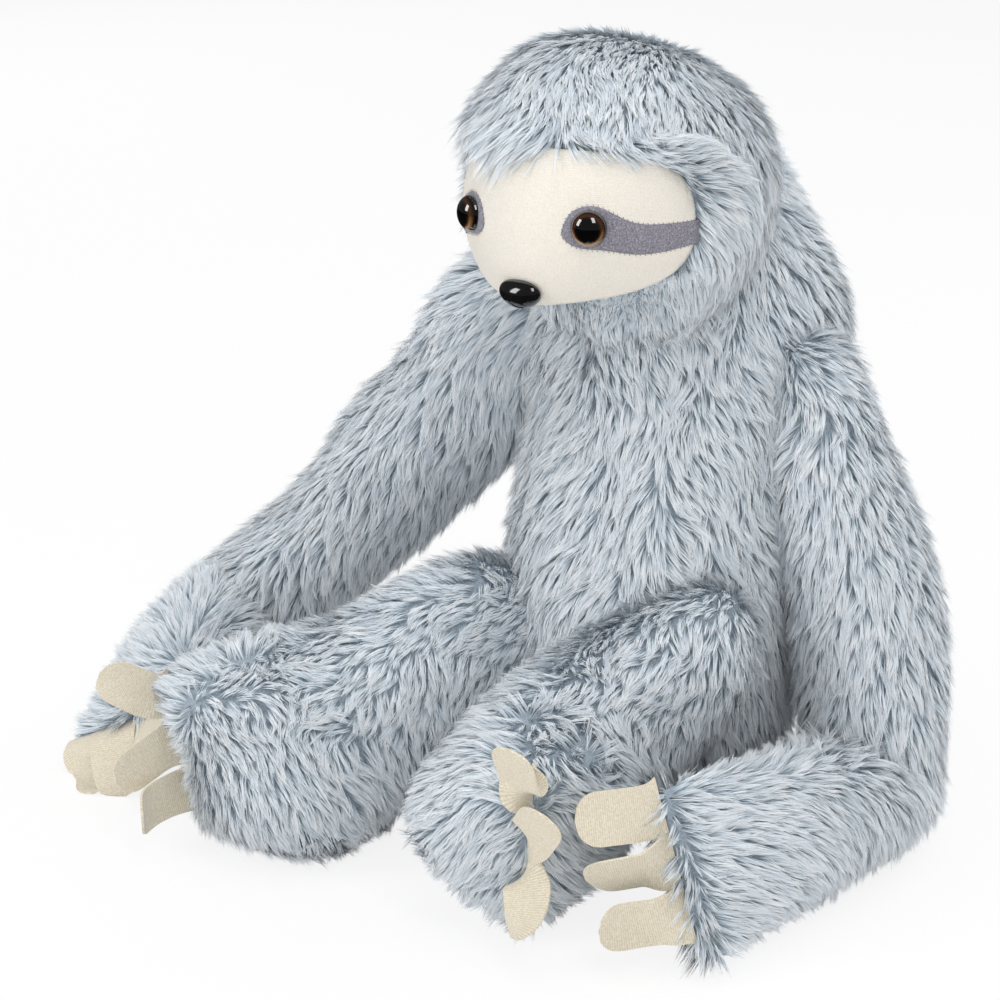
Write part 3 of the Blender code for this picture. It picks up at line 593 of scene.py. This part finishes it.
def skin_points(skin, spacing, rng):
    """Points spread evenly over a skin, with its normal at each."""
    mesh = skin.data
    mesh.calc_loop_triangles()
    corners = np.array([t.vertices[:] for t in mesh.loop_triangles])
    places = np.array([v.co[:] for v in mesh.vertices])
    normals = np.array([v.normal[:] for v in mesh.vertices])
    a, b, c = (places[corners[:, k]] for k in range(3))
    areas = np.linalg.norm(np.cross(b - a, c - a), axis=1) / 2
    tries = int(areas.sum() / spacing ** 2 * 2.2)
    picked = rng.choice(len(corners), tries, p=areas / areas.sum())
    u, v = rng.random(tries), rng.random(tries)
    over = u + v > 1.0
    u[over], v[over] = 1.0 - u[over], 1.0 - v[over]
    weights = np.stack([1.0 - u - v, u, v], axis=1)[:, :, None]
    points = (places[corners[picked]] * weights).sum(1)
    out = unit((normals[corners[picked]] * weights).sum(1))
    taken = {}
    kept = []
    cells = np.floor(points / spacing).astype(int)
    for i, (x, y, z) in enumerate(cells.tolist()):
        near = [j for dx in (-1, 0, 1) for dy in (-1, 0, 1) for dz in (-1, 0, 1)
                for j in taken.get((x + dx, y + dy, z + dz), ())]
        if near and (np.linalg.norm(points[near] - points[i], axis=1) < spacing * 0.80).any():
            continue
        taken.setdefault((x, y, z), []).append(i)
        kept.append(i)
    return points[kept], out[kept]


def swirl(points, seed):
    """A smooth field that wanders over a few centimetres, as brushed pile does."""
    rng = np.random.default_rng(seed)
    field = np.zeros_like(points)
    for reach in (0.075, 0.040, 0.022, 0.012):
        for _ in range(3):
            way = unit(rng.normal(size=(1, 3)))[0] * tau / reach
            field += np.sin(points @ way + rng.random() * tau)[:, None] * rng.normal(size=3)
    return field / 3.0


def turned(ways, normals, angles):
    """Rows of ways turned about their normals."""
    return ways * np.cos(angles)[:, None] + np.cross(normals, ways) * np.sin(angles)[:, None]


def grow_fur(name, skin, comb, seed, ride, hider, depth, parts, order, spacing=LOCK_SPACING,
             gather=TUFT_PULL):
    """Plants locks of tapered strands on a skin. comb gives each root its way, its lift, its length's share
    and whether it's kept, and each lock leans over to its tuft's tip. None grows deeper than depth in the
    hider. The parts follow each other in the order's direction."""
    rng = np.random.default_rng(seed)
    points, normals = skin_points(skin, spacing, rng)
    inside = []
    for point in points:
        nearest, facing, _, _ = hider.find_nearest(Vector(point))
        inside.append((Vector(point) - nearest).dot(facing) < -depth)
    points, normals = points[~np.array(inside)], normals[~np.array(inside)]
    keep = comb(points, normals)[3]
    points, normals = points[keep], normals[keep]

    def tips_of(spots, out, sway, uneven):
        way, lift, share, _ = comb(spots, out)
        count = len(spots)
        way = turned(way, out, rng.normal(0.0, sway, count))
        lift = np.clip(lift + rng.normal(0.0, 0.09, count), 0.10, 0.95)[:, None]
        reach = (share * PILE_LENGTH * np.clip(rng.normal(1.0, uneven, count), 0.6, 1.4))[:, None]
        return spots + reach * (out * lift + way * np.sqrt(1.0 - lift ** 2)), rng.normal(0.0, 1.0, count)

    tufts, tuft_normals = skin_points(skin, TUFT_SPACING, rng)
    tuft_tips, tuft_tones = tips_of(tufts, tuft_normals, 0.26, 0.14)
    tips, tones = tips_of(points, normals, 0.16, 0.12)
    places = KDTree(len(tufts))
    for number, tuft in enumerate(tufts):
        places.insert(tuft, number)
    places.balance()
    nearest = np.array([places.find(point)[1] for point in points])
    lean = tuft_tips[nearest] - tips
    lean *= gather * np.minimum(1.0, TUFT_REACH / np.maximum(np.linalg.norm(lean, axis=1), 1e-6))[:, None]
    tips += lean
    tones = np.clip(0.5 + 0.13 * tuft_tones[nearest] + 0.10 * tones, 0.0, 1.0)
    for number, group in enumerate(np.array_split(np.argsort(points @ np.array(order)), parts)):
        rows = (values[group] for values in (points, normals, tips, tones))
        ride(strand_mesh(f"{name}_{number + 1}", *rows, rng))


def strand_mesh(name, roots, normals, tips, tones, rng):
    """One mesh of tapered ribbons: each lock's strands start apart and close towards its tip."""
    count = len(roots) * LOCK_STRANDS
    root, n, tip, tone = (np.repeat(rows, LOCK_STRANDS, axis=0) for rows in (roots, normals, tips, tones))
    chord = tip - root
    reach = np.linalg.norm(chord, axis=1, keepdims=True)
    w = unit(flat_on(chord, n))
    s = np.cross(n, w)
    angle = rng.random((count, 1)) * tau
    off = LOCK_RADIUS * np.sqrt(rng.random((count, 1)))
    start = root + (w * np.cos(angle) + s * np.sin(angle)) * off
    loose = rng.normal(size=(count, 3)) * STRAND_LOOSE
    gather = np.where(rng.random((count, 1)) < 0.15, 0.25, 0.80)
    span = chord * rng.normal(1.0, 0.10, (count, 1))
    end = (start + span) * (1.0 - gather) + (root + span) * gather + loose
    bend = start + reach * 0.48 * unit(chord / reach + n * 0.42) + loose * 0.5
    start = start - n * ROOT_DEPTH
    middle = start * 0.25 + bend * 0.5 + end * 0.25
    facing = unit(n + w * 0.25 + rng.normal(size=(count, 3)) * 0.18)
    rows = []
    for line, ahead, width in ((start, middle - start, 1.0), (middle, end - start, 0.82)):
        flank = unit(np.cross(ahead, facing)) * (STRAND_WIDTH / 2 * width)
        rows += [line - flank, line + flank]
    places = np.stack(rows + [end], axis=1).reshape(-1, 3)
    places[:, 2] = np.maximum(places[:, 2], FLOOR_GAP)
    faces = (np.arange(count) * 5)[:, None] + np.array([[0, 1, 3, 2, 2, 3, 4]])
    mesh = bpy.data.meshes.new(name)
    mesh.vertices.add(len(places))
    mesh.vertices.foreach_set("co", places.astype(np.float32).ravel())
    mesh.loops.add(faces.size)
    mesh.loops.foreach_set("vertex_index", faces.ravel().astype(np.int32))
    mesh.polygons.add(count * 2)
    starts = (np.arange(count)[:, None] * 7 + np.array([[0, 4]])).ravel()
    mesh.polygons.foreach_set("loop_start", starts.astype(np.int32))
    mesh.update(calc_edges=True)
    plan = np.empty((count, 5, 2))
    plan[:, :, 0] = np.clip(tone + rng.normal(0.0, 0.16, count), 0.01, 0.99)[:, None]
    plan[:, :, 1] = np.array([[0.01, 0.01, 0.5, 0.5, 0.99]])
    layer = mesh.uv_layers.new(name="OFBake")
    layer.data.foreach_set("uv", plan.reshape(-1, 2)[faces.ravel()].astype(np.float32).ravel())
    mesh.shade_smooth()
    # The pile is lit as one soft surface: its normals lean out of the skin, and turn with it in a pose
    own = unit(np.cross(end - start, s))
    own *= np.sign((own * n).sum(1, keepdims=True))
    soft = unit(n * SOFT_SHARE + own * (1.0 - SOFT_SHARE) + rng.normal(size=(count, 3)) * 0.12)
    mesh.normals_split_custom_set_from_vertices(np.repeat(soft, 5, axis=0))
    mesh.materials.append(FUR)
    made = placed(name, mesh)
    return made


# Where the pile lies: the ranges over which its pulls come in, and the seams that it parts from
NECK_LEVELS = (0.30, 0.37)
NECK_DEPTHS = (-0.02, 0.03)
SHOULDER_LEVELS = (-0.01, 0.03)
SHOULDER_PULLS = {"left": (1.8, 0.6, 0.0), "right": (-1.1, -0.2, 0.0)}
ELBOW_EASE = 0.05
HAND_SEAM_HALF = 0.040
HAND_WHORL_REACH = 0.11
SEAM_LEAN = (0.003, 0.011)
SEAM_STAND = (0.002, 0.014)
LEG_TOP_LEVELS = (0.06, 0.11)
FOOT_SEAM_HALF = 0.025
FOOT_WHORL_REACH = 0.10
# Where each foot's pile parts, from the middle of its seam
FOOT_WHORLS = {"left": (0.0, 0.0, 0.0), "right": (0.022, -0.008, 0.0)}
# Where the crown's whorl lies on the head
WHORL_TURN = radians(-158.0)
WHORL_RISE = radians(54.0)


def eased(values, first, last):
    """Nought before the first value, one past the last, and smooth between."""
    t = np.clip((values - first) / (last - first), 0.0, 1.0)
    return t * t * (3.0 - 2.0 * t)


def laid(points, normals, pull, seed, wander=0.34, lift=0.41):
    """A comb from a pull: its way on the skin, and how far it stands up."""
    way = flat_on(pull, normals) + flat_on(swirl(points, seed), normals) * wander
    strength = np.linalg.norm(way, axis=1)
    stand = np.clip(lift + 0.16 * np.clip(1.0 - strength, 0.0, 1.0), 0.1, 0.9)
    return unit(way), stand, np.ones(len(points)), np.ones(len(points), bool)


def off_seam(points, middle, seam, half):
    """How each point lies off a paw's seam, which runs half to each side of its middle."""
    off = points - middle
    return off - np.outer(np.clip(off @ seam, -half, half), seam)


def comb_torso(points, normals):
    """Down the body, and back over it behind the neck."""
    pull = np.tile([0.10, 0.0, -1.0], (len(points), 1))
    pull[:, 0] += 0.12 * points[:, 0] / TORSO_HALF_WIDTH
    pull[:, 1] += 1.2 * eased(points[:, 2], *NECK_LEVELS) * eased(points[:, 1], *NECK_DEPTHS)
    return laid(points, normals, pull, 3)


def head_way(turn, rise):
    """A way out of the head: turned aside from the face's middle, and raised, on the tilted head."""
    way = Vector((sin(turn) * cos(rise), -cos(turn) * cos(rise), sin(rise)))
    return HEAD_FRAME @ way


def face_angles(points):
    """Each point's turn and rise from the face's middle, in degrees, and how far out it lies there, with the
    face's edge at one."""
    off = unit(points - np.array(HEAD_CENTRE)) @ np.array(HEAD_FRAME)
    turn, rise = np.arctan2(off[:, 0], -off[:, 1]), np.arcsin(np.clip(off[:, 2], -1.0, 1.0))
    outward = ((np.abs(turn) / FACE_HALF_SPAN) ** FACE_CORNER
               + (np.abs(rise - FACE_LEVEL) / FACE_HALF_RISE) ** FACE_CORNER) ** (1.0 / FACE_CORNER)
    return np.degrees(turn), np.degrees(rise), outward


def chin_share(turn, rise):
    """One below the face's lower edge, nought at its sides."""
    below = eased(-rise, 14.0, 28.0) * (1.0 - eased(-rise, 60.0, 85.0))
    return below * (1.0 - eased(np.abs(turn), 55.0, 90.0))


def comb_head(points, normals):
    """Away from a whorl behind the crown: over the forehead's right as a fringe, round the face's left."""
    turn, rise, outward = face_angles(points)
    whorl = np.array(HEAD_CENTRE + HEAD_RADIUS * head_way(WHORL_TURN, WHORL_RISE))
    pull = unit(flat_on(points - whorl, normals))
    pull[:, 2] -= eased(-rise, -40.0, 10.0)
    aside = np.stack([np.cos(np.radians(turn)), np.sin(np.radians(turn)), 0.0 * turn], axis=1)
    aside = aside @ np.array(HEAD_FRAME).T
    rim = 1.0 - eased(outward, 1.0, 1.45)
    cheek = rim * eased(np.abs(turn), 40.0, 70.0) * eased(rise, -30.0, 5.0)
    clean = rim * eased(turn, 8.0, 22.0) * eased(rise, 0.0, 20.0)
    fringe = (1.0 - eased(outward, 1.05, 1.7)) * eased(-turn, -16.0, -2.0) * eased(rise, 12.0, 26.0)
    fringe *= 1.0 - 0.85 * eased(-turn, 12.0, 38.0)
    chin = chin_share(turn, rise)
    pull += aside * (np.sign(turn) * 1.7 * cheek + 0.9 * clean - 0.7 * fringe)[:, None]
    pull[:, 2] += 0.8 * clean - 0.6 * fringe
    way, lift, share, keep = laid(points, normals, pull, 5, wander=0.26, lift=0.34)
    share = share * (1.0 + 0.85 * fringe) * (1.0 - 0.78 * chin)
    crown = eased(rise, 35.0, 60.0)
    lift = np.clip(lift + 0.26 * clean + 0.30 * cheek + 0.04 * fringe - 0.15 * crown, 0.1, 0.95)
    return way, lift, share, keep & (outward > 0.985)


def comb_arm(word):
    """Down the arm, away from the body on top of the shoulder, and back from the paw's seam."""
    shoulder, elbow, end = (np.array(p[word]) for p in (SHOULDERS, ELBOWS, HAND_ENDS))
    seam = np.array(HAND_SEAMS[word].normalized())

    def comb(points, normals):
        pull = np.tile([0.0, 0.0, -1.0], (len(points), 1))
        lower = np.clip(((points - elbow) @ unit((end - elbow)[None])[0]) / ELBOW_EASE, 0.0, 1.0)
        pull += np.outer(1.0 - lower, unit((elbow - shoulder)[None])[0]) * 0.5
        above = eased(points[:, 2], *(shoulder[2] + np.array(SHOULDER_LEVELS)))
        pull += np.outer(above, SHOULDER_PULLS[word])
        off = off_seam(points, end, seam, HAND_SEAM_HALF)
        away = np.linalg.norm(off, axis=1)
        near = np.clip(1.0 - away / HAND_WHORL_REACH, 0.0, 1.0)
        # Beside the seam the pile stands and leans over the claws' roots; further off it lies back from them
        pull += unit(off) * (2.2 * near * (1.5 * eased(away, *SEAM_LEAN) - 0.5))[:, None]
        way, lift, share, keep = laid(points, normals, pull, 11)
        return way, np.clip(lift + 0.42 * (1.0 - eased(away, *SEAM_STAND)), 0.1, 0.95), share, keep
    return comb


def comb_leg(word):
    """Down the leg's sides, along its top, and out from the whorl on the foot's end."""
    hip, end = np.array(HIPS[word]), np.array(FOOT_ENDS[word])
    seam = np.array(FOOT_SEAMS[word].normalized())
    whorl = end + np.array(FOOT_WHORLS[word])

    def comb(points, normals):
        pull = np.tile([0.0, 0.0, -1.0], (len(points), 1))
        over = eased(points[:, 2], *LEG_TOP_LEVELS)
        pull += np.outer(over, unit((end - hip)[None])[0] * [1.0, 1.0, 0.0])
        off = off_seam(points, whorl, seam, FOOT_SEAM_HALF)
        near = np.clip(1.0 - np.linalg.norm(off, axis=1) / FOOT_WHORL_REACH, 0.0, 1.0)
        pull += unit(off) * (2.0 * near)[:, None]
        way, lift, share, keep = laid(points, normals, pull, 17, wander=0.50, lift=0.43)
        return way, np.clip(lift + 0.10 * near ** 4, 0.1, 0.95), share * 0.86, keep
    return comb


# Face

def face_reach(way):
    """How far the knit stands from the head's centre."""
    swell = max(0.0, way.dot(head_way(0.0, SWELL_DROP))) ** 2
    off_snout = way.angle(head_way(0.0, SNOUT_DROP)) / SNOUT_SPREAD
    return FACE_RADIUS + FACE_SWELL * swell + SNOUT_SWELL * exp(-off_snout ** 2)


def face_point(turn, rise, lift):
    """A point over the knit."""
    way = head_way(turn, rise)
    return HEAD_CENTRE + way * (face_reach(way) + lift)


def grid(name, columns, rows):
    """A flat grid from −1 to 1, to be drawn into its shape."""
    bpy.ops.mesh.primitive_grid_add(x_subdivisions=columns, y_subdivisions=rows, size=2.0)
    bpy.context.active_object.name = name
    return bpy.context.active_object


def face_button(name, turn, rise, lift):
    """A ball to be drawn into its shape, its seat on the knit and the ways across, up and out of it."""
    out = head_way(turn, rise)
    across = (HEAD_FRAME @ Z_AXIS).cross(out).normalized()
    bpy.ops.mesh.primitive_uv_sphere_add(segments=48, ring_count=32, radius=1.0)
    bpy.context.active_object.name = name
    bpy.ops.object.shade_smooth()
    return bpy.context.active_object, face_point(turn, rise, lift), across, out.cross(across), out


def face_panel():
    """The knit panel: a grid drawn out to the almond outline, with its edge tucked into the hood's seam."""
    panel = grid("face_knit", 72, 56)
    for corner in panel.data.vertices:
        x, y = corner.co.x, corner.co.y
        share = max(abs(x), abs(y))
        angle = atan2(y, x)
        side, up = cos(angle), sin(angle)
        stretch = (abs(side) ** FACE_CORNER + abs(up) ** FACE_CORNER) ** (-1.0 / FACE_CORNER)
        tuck = max(0.0, share - 0.96) / 0.04
        corner.co = face_point(share * stretch * side * FACE_HALF_SPAN,
                               FACE_LEVEL + share * stretch * up * FACE_HALF_RISE, -KNIT_TUCK * tuck ** 2)
    faced_out()
    applied(panel, "SOLIDIFY", thickness=KNIT_WALL, offset=-1.0)
    return panel


def eye_patch(side, name):
    """A velour patch laid over the knit, a disc round the eye that narrows to a band out to the hood."""
    patch = grid(name, 72, 20)
    upper_turns, upper_rises = zip(*PATCH_UPPER)
    lower_turns, lower_rises = zip(*PATCH_LOWER)
    for corner in patch.data.vertices:
        x, y = corner.co.x, corner.co.y
        across = 1.0 - cos((x + 1.0) / 4 * pi)
        turn = upper_turns[0] + across * (upper_turns[-1] - upper_turns[0])
        high, low = np.interp(turn, upper_turns, upper_rises), np.interp(turn, lower_turns, lower_rises)
        edge = max(abs(y), 1.0 - min(1.0, (x + 1.0) * 10.0))
        lift = PATCH_HEIGHT * sqrt(max(0.0, 1.0 - edge ** 8)) - PATCH_SUNK
        rise = (high + low) / 2 + y * (high - low) / 2
        corner.co = face_point(radians(side * turn), radians(rise), lift)
    faced_out()
    return patch


def edge_stitches(side, name):
    """The patch's sewing thread: short slanted stitches over its edge."""
    outline = list(PATCH_UPPER) + list(reversed(PATCH_LOWER[1:]))
    places = [face_point(radians(side * turn), radians(rise), STITCH_LIFT) for turn, rise in outline]
    pieces = []
    carried = 0.0
    for first, last in zip(places, places[1:]):
        span = (last - first).length
        if span > UNSTITCHED_SPAN:
            continue
        while carried < span:
            spot = first.lerp(last, carried / span)
            out = (spot - HEAD_CENTRE).normalized()
            over = (last - first).normalized().cross(out)
            way = (over * 0.9 + (last - first).normalized() * 0.7).normalized()
            bpy.ops.mesh.primitive_cylinder_add(vertices=6, radius=STITCH_RADIUS, depth=STITCH_LENGTH,
                                                location=spot,
                                                rotation=way.to_track_quat("Z", "Y").to_euler())
            pieces.append(bpy.context.active_object)
            carried += STITCH_GAPS[len(pieces) % 3]
        carried -= span
    made = joined(pieces, name)
    bpy.ops.object.shade_smooth()
    return made


def eye(side, name):
    """A domed safety eye on its rim, looking out of the patch."""
    made, seat, across, up, out = face_button(name, side * EYE_TURN, EYE_RISE, EYE_LIFT)
    places = []
    for corner in made.data.vertices:
        x, y, z = corner.co
        reach = 1.0 if z >= 0.0 else max(hypot(x, y), 1e-6)
        places.append((x / reach, y / reach))
        deep = EYE_HEIGHT * z if z > 0.0 else EYE_RIM * z
        corner.co = seat + across * (x * EYE_RADIUS) + up * (y * EYE_RADIUS) + out * deep
    mapped(made, "eye_plan", places)
    return made


def nose():
    """A glossy moulded nose: broad and flat on top, rounded below."""
    made, seat, across, up, out = face_button("moulded_nose", 0.0, NOSE_DROP, NOSE_LIFT)
    for corner in made.data.vertices:
        x, y, z = corner.co
        width = NOSE_HALF_WIDTH * (1.0 + 0.10 * y)
        flat = y if y < 0.0 else y * (0.86 + 0.06 * abs(x))
        deep = NOSE_HEIGHT * z if z > 0.0 else NOSE_RIM * z
        corner.co = seat + across * (x * width) + up * (flat * NOSE_HALF_HEIGHT) + out * deep
    return made


# Claws

def paw_frame(paw):
    """A paw's end, the way out of it and its seam's direction."""
    word, kind = paw.split("_")
    if kind == "hand":
        ahead = (HAND_ENDS[word] - ELBOWS[word]).normalized()
        return HAND_ENDS[word], ahead, squared(HAND_SEAMS[word].normalized(), ahead)
    _, ahead = leg_line(word, 1.0)
    return FOOT_ENDS[word], ahead, squared(FOOT_SEAMS[word].normalized(), ahead)


def finger_frames(way, along, turn, lean, twist, curl, length):
    """A finger's middle line and its way across, step by step from its root. Turn, lean and twist come near
    the root, and the curl towards the tip."""
    place = Vector()
    frames = []
    for step in range(CLAW_STEPS + 1):
        share = step / CLAW_STEPS
        taken = float(eased(share, 0.0, 1.0 / CLAW_BEND))
        swung = Matrix.Rotation(radians(turn * taken + curl * share * share * 2.0), 3, along) @ way
        tilt, spin = radians(lean * taken), radians(twist * taken)
        ahead = swung * cos(tilt) + along * sin(tilt)
        across = along * cos(tilt) - swung * sin(tilt)
        across = across * cos(spin) + ahead.cross(across) * sin(spin)
        frames.append((place.copy(), across))
        place += ahead * (length / CLAW_STEPS)
    return frames


def claws(paw):
    """The felt strip in a paw's seam, cut into three rounded fingers that hang each its own way."""
    end, ahead, along = paw_frame(paw)
    scale = FOOT_CLAW_SHARE if paw.endswith("foot") else 1.0
    length, half, web = CLAW_LENGTH * scale, CLAW_WIDTH * scale / 2, CLAW_WEB * scale
    bend, depth, hangs = CLAWS[paw]
    pivot = end + ahead * (FELT_WALL / 2 - depth)
    way = Matrix.Rotation(radians(bend), 3, along) @ ahead
    fingers = []
    for seat, hang in hangs:
        finger = grid(paw + "_finger", CLAW_STEPS, 12)
        frames = finger_frames(way, along, *hang, length)
        places = []
        for corner in finger.data.vertices:
            x, y = corner.co.x, corner.co.y
            step = round((x + 1.0) / 2 * CLAW_STEPS)
            reach = step / CLAW_STEPS * length
            round_off = max(0.0, (reach - (length - half)) / half)
            level = y * half * sqrt(max(0.0, 1.0 - round_off ** 2.4))
            if reach < web:
                level = y * (half + (CLAW_PITCH * scale / 2 - half) * (1.0 - reach / web) ** 2)
            places.append((reach * 1000.0, level * 1000.0))
            place, across = frames[step]
            corner.co = pivot + along * seat + place + across * level
            corner.co.z = max(corner.co.z, FELT_WALL)
        mapped(finger, "claw_mm", places)
        fingers.append(finger)
    made = joined(fingers, paw + "_felt_claws")
    faced_out(FELT_MERGE)
    applied(made, "SOLIDIFY", thickness=FELT_WALL, offset=0.0)
    bpy.ops.object.shade_smooth_by_angle(angle=FELT_EDGE)
    return made


# Stage

FLOOR_SIZE = 8.0
LAMP_GOAL = Vector((0.0, -0.05, 0.22))
# Each soft box: which way it stands, how far off, its width and height, its watts, and whether the glossy
# pieces show it
LAMPS = {
    "key": ((-0.446, -0.764, 0.467), 2.2, 0.70, 1.15, 14.6, True),
    "fill": ((0.557, -0.325, 0.764), 2.0, 0.55, 1.00, 8.4, True),
    "front": ((0.52, -0.80, 0.36), 2.4, 1.4, 1.0, 10.4, False),
    "top": ((0.0, -0.15, 1.0), 2.0, 1.4, 1.4, 10.5, False),
    "back": ((0.2, 0.9, 0.7), 2.2, 1.2, 1.2, 9.5, False),
    "far_side": ((-0.9, 0.5, 0.35), 2.2, 1.2, 1.2, 6.0, False),
    "near_side": ((0.9, 0.45, 0.35), 2.2, 1.2, 1.2, 6.0, False),
}


def area_lamp(name, way, reach, size, size_y, watts, glossy):
    """A soft box that looks at the toy."""
    lamp = bpy.data.lights.new(name, "AREA")
    lamp.shape = "RECTANGLE"
    lamp.size = size
    lamp.size_y = size_y
    lamp.energy = watts
    made = placed(name, lamp)
    made.location = LAMP_GOAL + Vector(way).normalized() * reach
    made.visible_glossy = glossy
    made.rotation_euler = (LAMP_GOAL - made.location).to_track_quat("-Z", "Y").to_euler()


def stage():
    """A pale floor, an even surround and soft boxes. Floor and surround stay white to the camera, and dark in
    the gloss of the eyes."""
    bpy.ops.mesh.primitive_plane_add(size=FLOOR_SIZE)
    floor = bpy.context.active_object
    floor.name = "floor"
    made, tree, shader = finish_of("matt_white_floor", {"Roughness": 0.9, "Specular IOR Level": 0.1})
    shader.inputs["Base Color"].default_value = colour("#fafafa")
    path = add_node(tree, "LightPath")
    white = add_node(tree, "Emission", {"Color": colour("#ffffff"), "Strength": 1.0})
    share = add_node(tree, "Math", {"operation": "MULTIPLY", 1: 0.86}, {0: path.outputs["Is Camera Ray"]})
    mixed = add_node(tree, "MixShader", links={
        0: share.outputs[0], 1: shader.outputs[0], 2: white.outputs[0]})
    dark = add_node(tree, "BsdfDiffuse", {"Color": colour("#202020")})
    gloss = add_node(tree, "MixShader", links={
        0: path.outputs["Is Glossy Ray"], 1: mixed.outputs[0], 2: dark.outputs[0]})
    tree.links.new(gloss.outputs[0], tree.nodes["Material Output"].inputs["Surface"])
    floor.data.materials.append(made)
    world = bpy.data.worlds.new("studio")
    bpy.context.scene.world = world
    world.use_nodes = True
    tree = world.node_tree
    ground = tree.nodes["Background"]
    ground.inputs["Color"].default_value = colour("#ffffff")
    path = add_node(tree, "LightPath")
    seen = add_node(tree, "Math", {"operation": "MULTIPLY_ADD", 1: 0.62, 2: 0.38},
                    {0: path.outputs["Is Camera Ray"]})
    tree.links.new(summed(tree, path.outputs["Is Glossy Ray"], -0.30, seen.outputs[0]),
                   ground.inputs["Strength"])
    for name, settings in LAMPS.items():
        area_lamp(name, *settings)


def camera():
    """The photograph's view."""
    az, el = CAMERA_AZIMUTH, CAMERA_ELEVATION
    back = Vector((sin(az) * cos(el), -cos(az) * cos(el), sin(el)))
    data = bpy.data.cameras.new("view")
    data.sensor_width = SENSOR_WIDTH
    data.lens = SENSOR_WIDTH * CAMERA_DISTANCE / VIEW_WIDTH
    made = placed("view", data)
    made.location = CAMERA_TARGET + back * CAMERA_DISTANCE
    made.rotation_euler = back.to_track_quat("Z", "Y").to_euler()
    bpy.context.scene.camera = made


def dress(piece, finish, slot, body, *nodes):
    """Gives a piece its finish and the body that it rides on, and hides the model's parts named by the nodes.
    """
    piece.data.materials.clear()
    piece.data.materials.append(finish)
    if body:
        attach(piece, body)
    if nodes:
        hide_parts(*nodes)


FUR = fur_finish()
# The woven ground that the pile is tufted into, which shows only as dark cloth between the locks
GROUND = grained_finish("fur_ground_cloth", {"Roughness": 0.95, "Specular IOR Level": 0.1}, 900.0, 3.0,
                        ((0.3, "#8c99a5"), (0.7, "#a8b4be")), (0.001, 0.6))
# Dense short nap that breaks the light into fine grains
PATCH = grained_finish("lilac_grey_velour", {
    "Roughness": 0.8, "Specular IOR Level": 0.25, "Sheen Weight": 0.45, "Sheen Roughness": 0.35}, 1300.0, 4.0,
    ((0.32, "#6d6a77"), (0.52, "#89868f"), (0.7, "#aaa8b2")), (0.0006, 0.7))
# Glossy moulded plastic, with the faint orange peel of a moulding
NOSE = grained_finish("glossy_black_plastic", {
    "Roughness": 0.12, "IOR": 1.5, "Coat Weight": 0.8, "Coat Roughness": 0.05, "Coat IOR": 1.7}, 320.0, 2.0,
    ((0.3, "#0a0a0b"), (0.7, "#131315")), (0.0004, 0.12))
THREAD = grained_finish("slate_sewing_thread", {"Roughness": 0.8}, 1500.0, 2.0,
                        ((0.3, "#565562"), (0.7, "#757380")))
FELT = felt_finish()
EYE = eye_finish()
bpy.context.scene.view_settings.view_transform = "Standard"
camera()
stage()

torso = torso_skin()
hood = hood_skin()
arms = {word: stuffed_skin(word + "_arm", arm_rings(word), 1) for word in ("left", "right")}
legs = {word: stuffed_skin(word + "_leg", leg_rings(word), 1) for word in ("left", "right")}
torso_tree = tree_of(torso)

grow_fur("torso_fur", torso, comb_torso, 1, lambda o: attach(o, "torso"), tree_of(hood), TORSO_DEPTH, 3,
         Y_AXIS)
grow_fur("hood_fur", hood, comb_head, 2, lambda o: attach(o, "head"), torso_tree, HOOD_DEPTH, 2, Y_AXIS,
         HEAD_SPACING, HEAD_PULL)
for word, seed in (("left", 3), ("right", 4)):
    shoulder, elbow, end = SHOULDERS[word], ELBOWS[word], HAND_ENDS[word]

    def bend(piece):
        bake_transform(piece)

    grow_fur(word + "_arm_fur", arms[word], comb_arm(word), seed, bend, torso_tree, LIMB_DEPTH, 2,
             end - shoulder)
    dress(arms[word], GROUND, "fur_cloth", None, word + "_upper_arm_cover", word + "_upper_arm_stuffing",
          word + "_forearm_cover", word + "_forearm_stuffing")
    bend(arms[word])
    grow_fur(word + "_leg_fur", legs[word], comb_leg(word), seed + 4, lambda o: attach(o, word + "_leg"),
             torso_tree, LIMB_DEPTH, 2, FOOT_ENDS[word] - HIPS[word])
    dress(legs[word], GROUND, "fur_cloth", word + "_leg", word + "_leg_cover", word + "_leg_stuffing")
dress(torso, GROUND, "fur_cloth", "torso", "torso_cover", "torso_stuffing")
dress(hood, GROUND, "fur_cloth", "head", "head_cover", "head_stuffing", "eye_washer_left",
      "eye_washer_right", "nose_washer")

knit = face_panel()
dress(knit, knit_finish(), "knit", "head", "face_panel")
for side, word in ((1.0, "left"), (-1.0, "right")):
    dress(edge_stitches(side, "patch_stitches_" + word), THREAD, "velour", "head")
    dress(eye_patch(side, "velour_patch_" + word), PATCH, "velour", "head", "eye_patch_" + word)
    dress(eye(side, "domed_eye_" + word), EYE, "eye_plastic", "head", "eye_" + word)
dress(nose(), NOSE, "nose_plastic", "head", "nose")
for paw in CLAWS:
    dress(claws(paw), FELT, "felt", paw + "_claws", paw + "_claws")
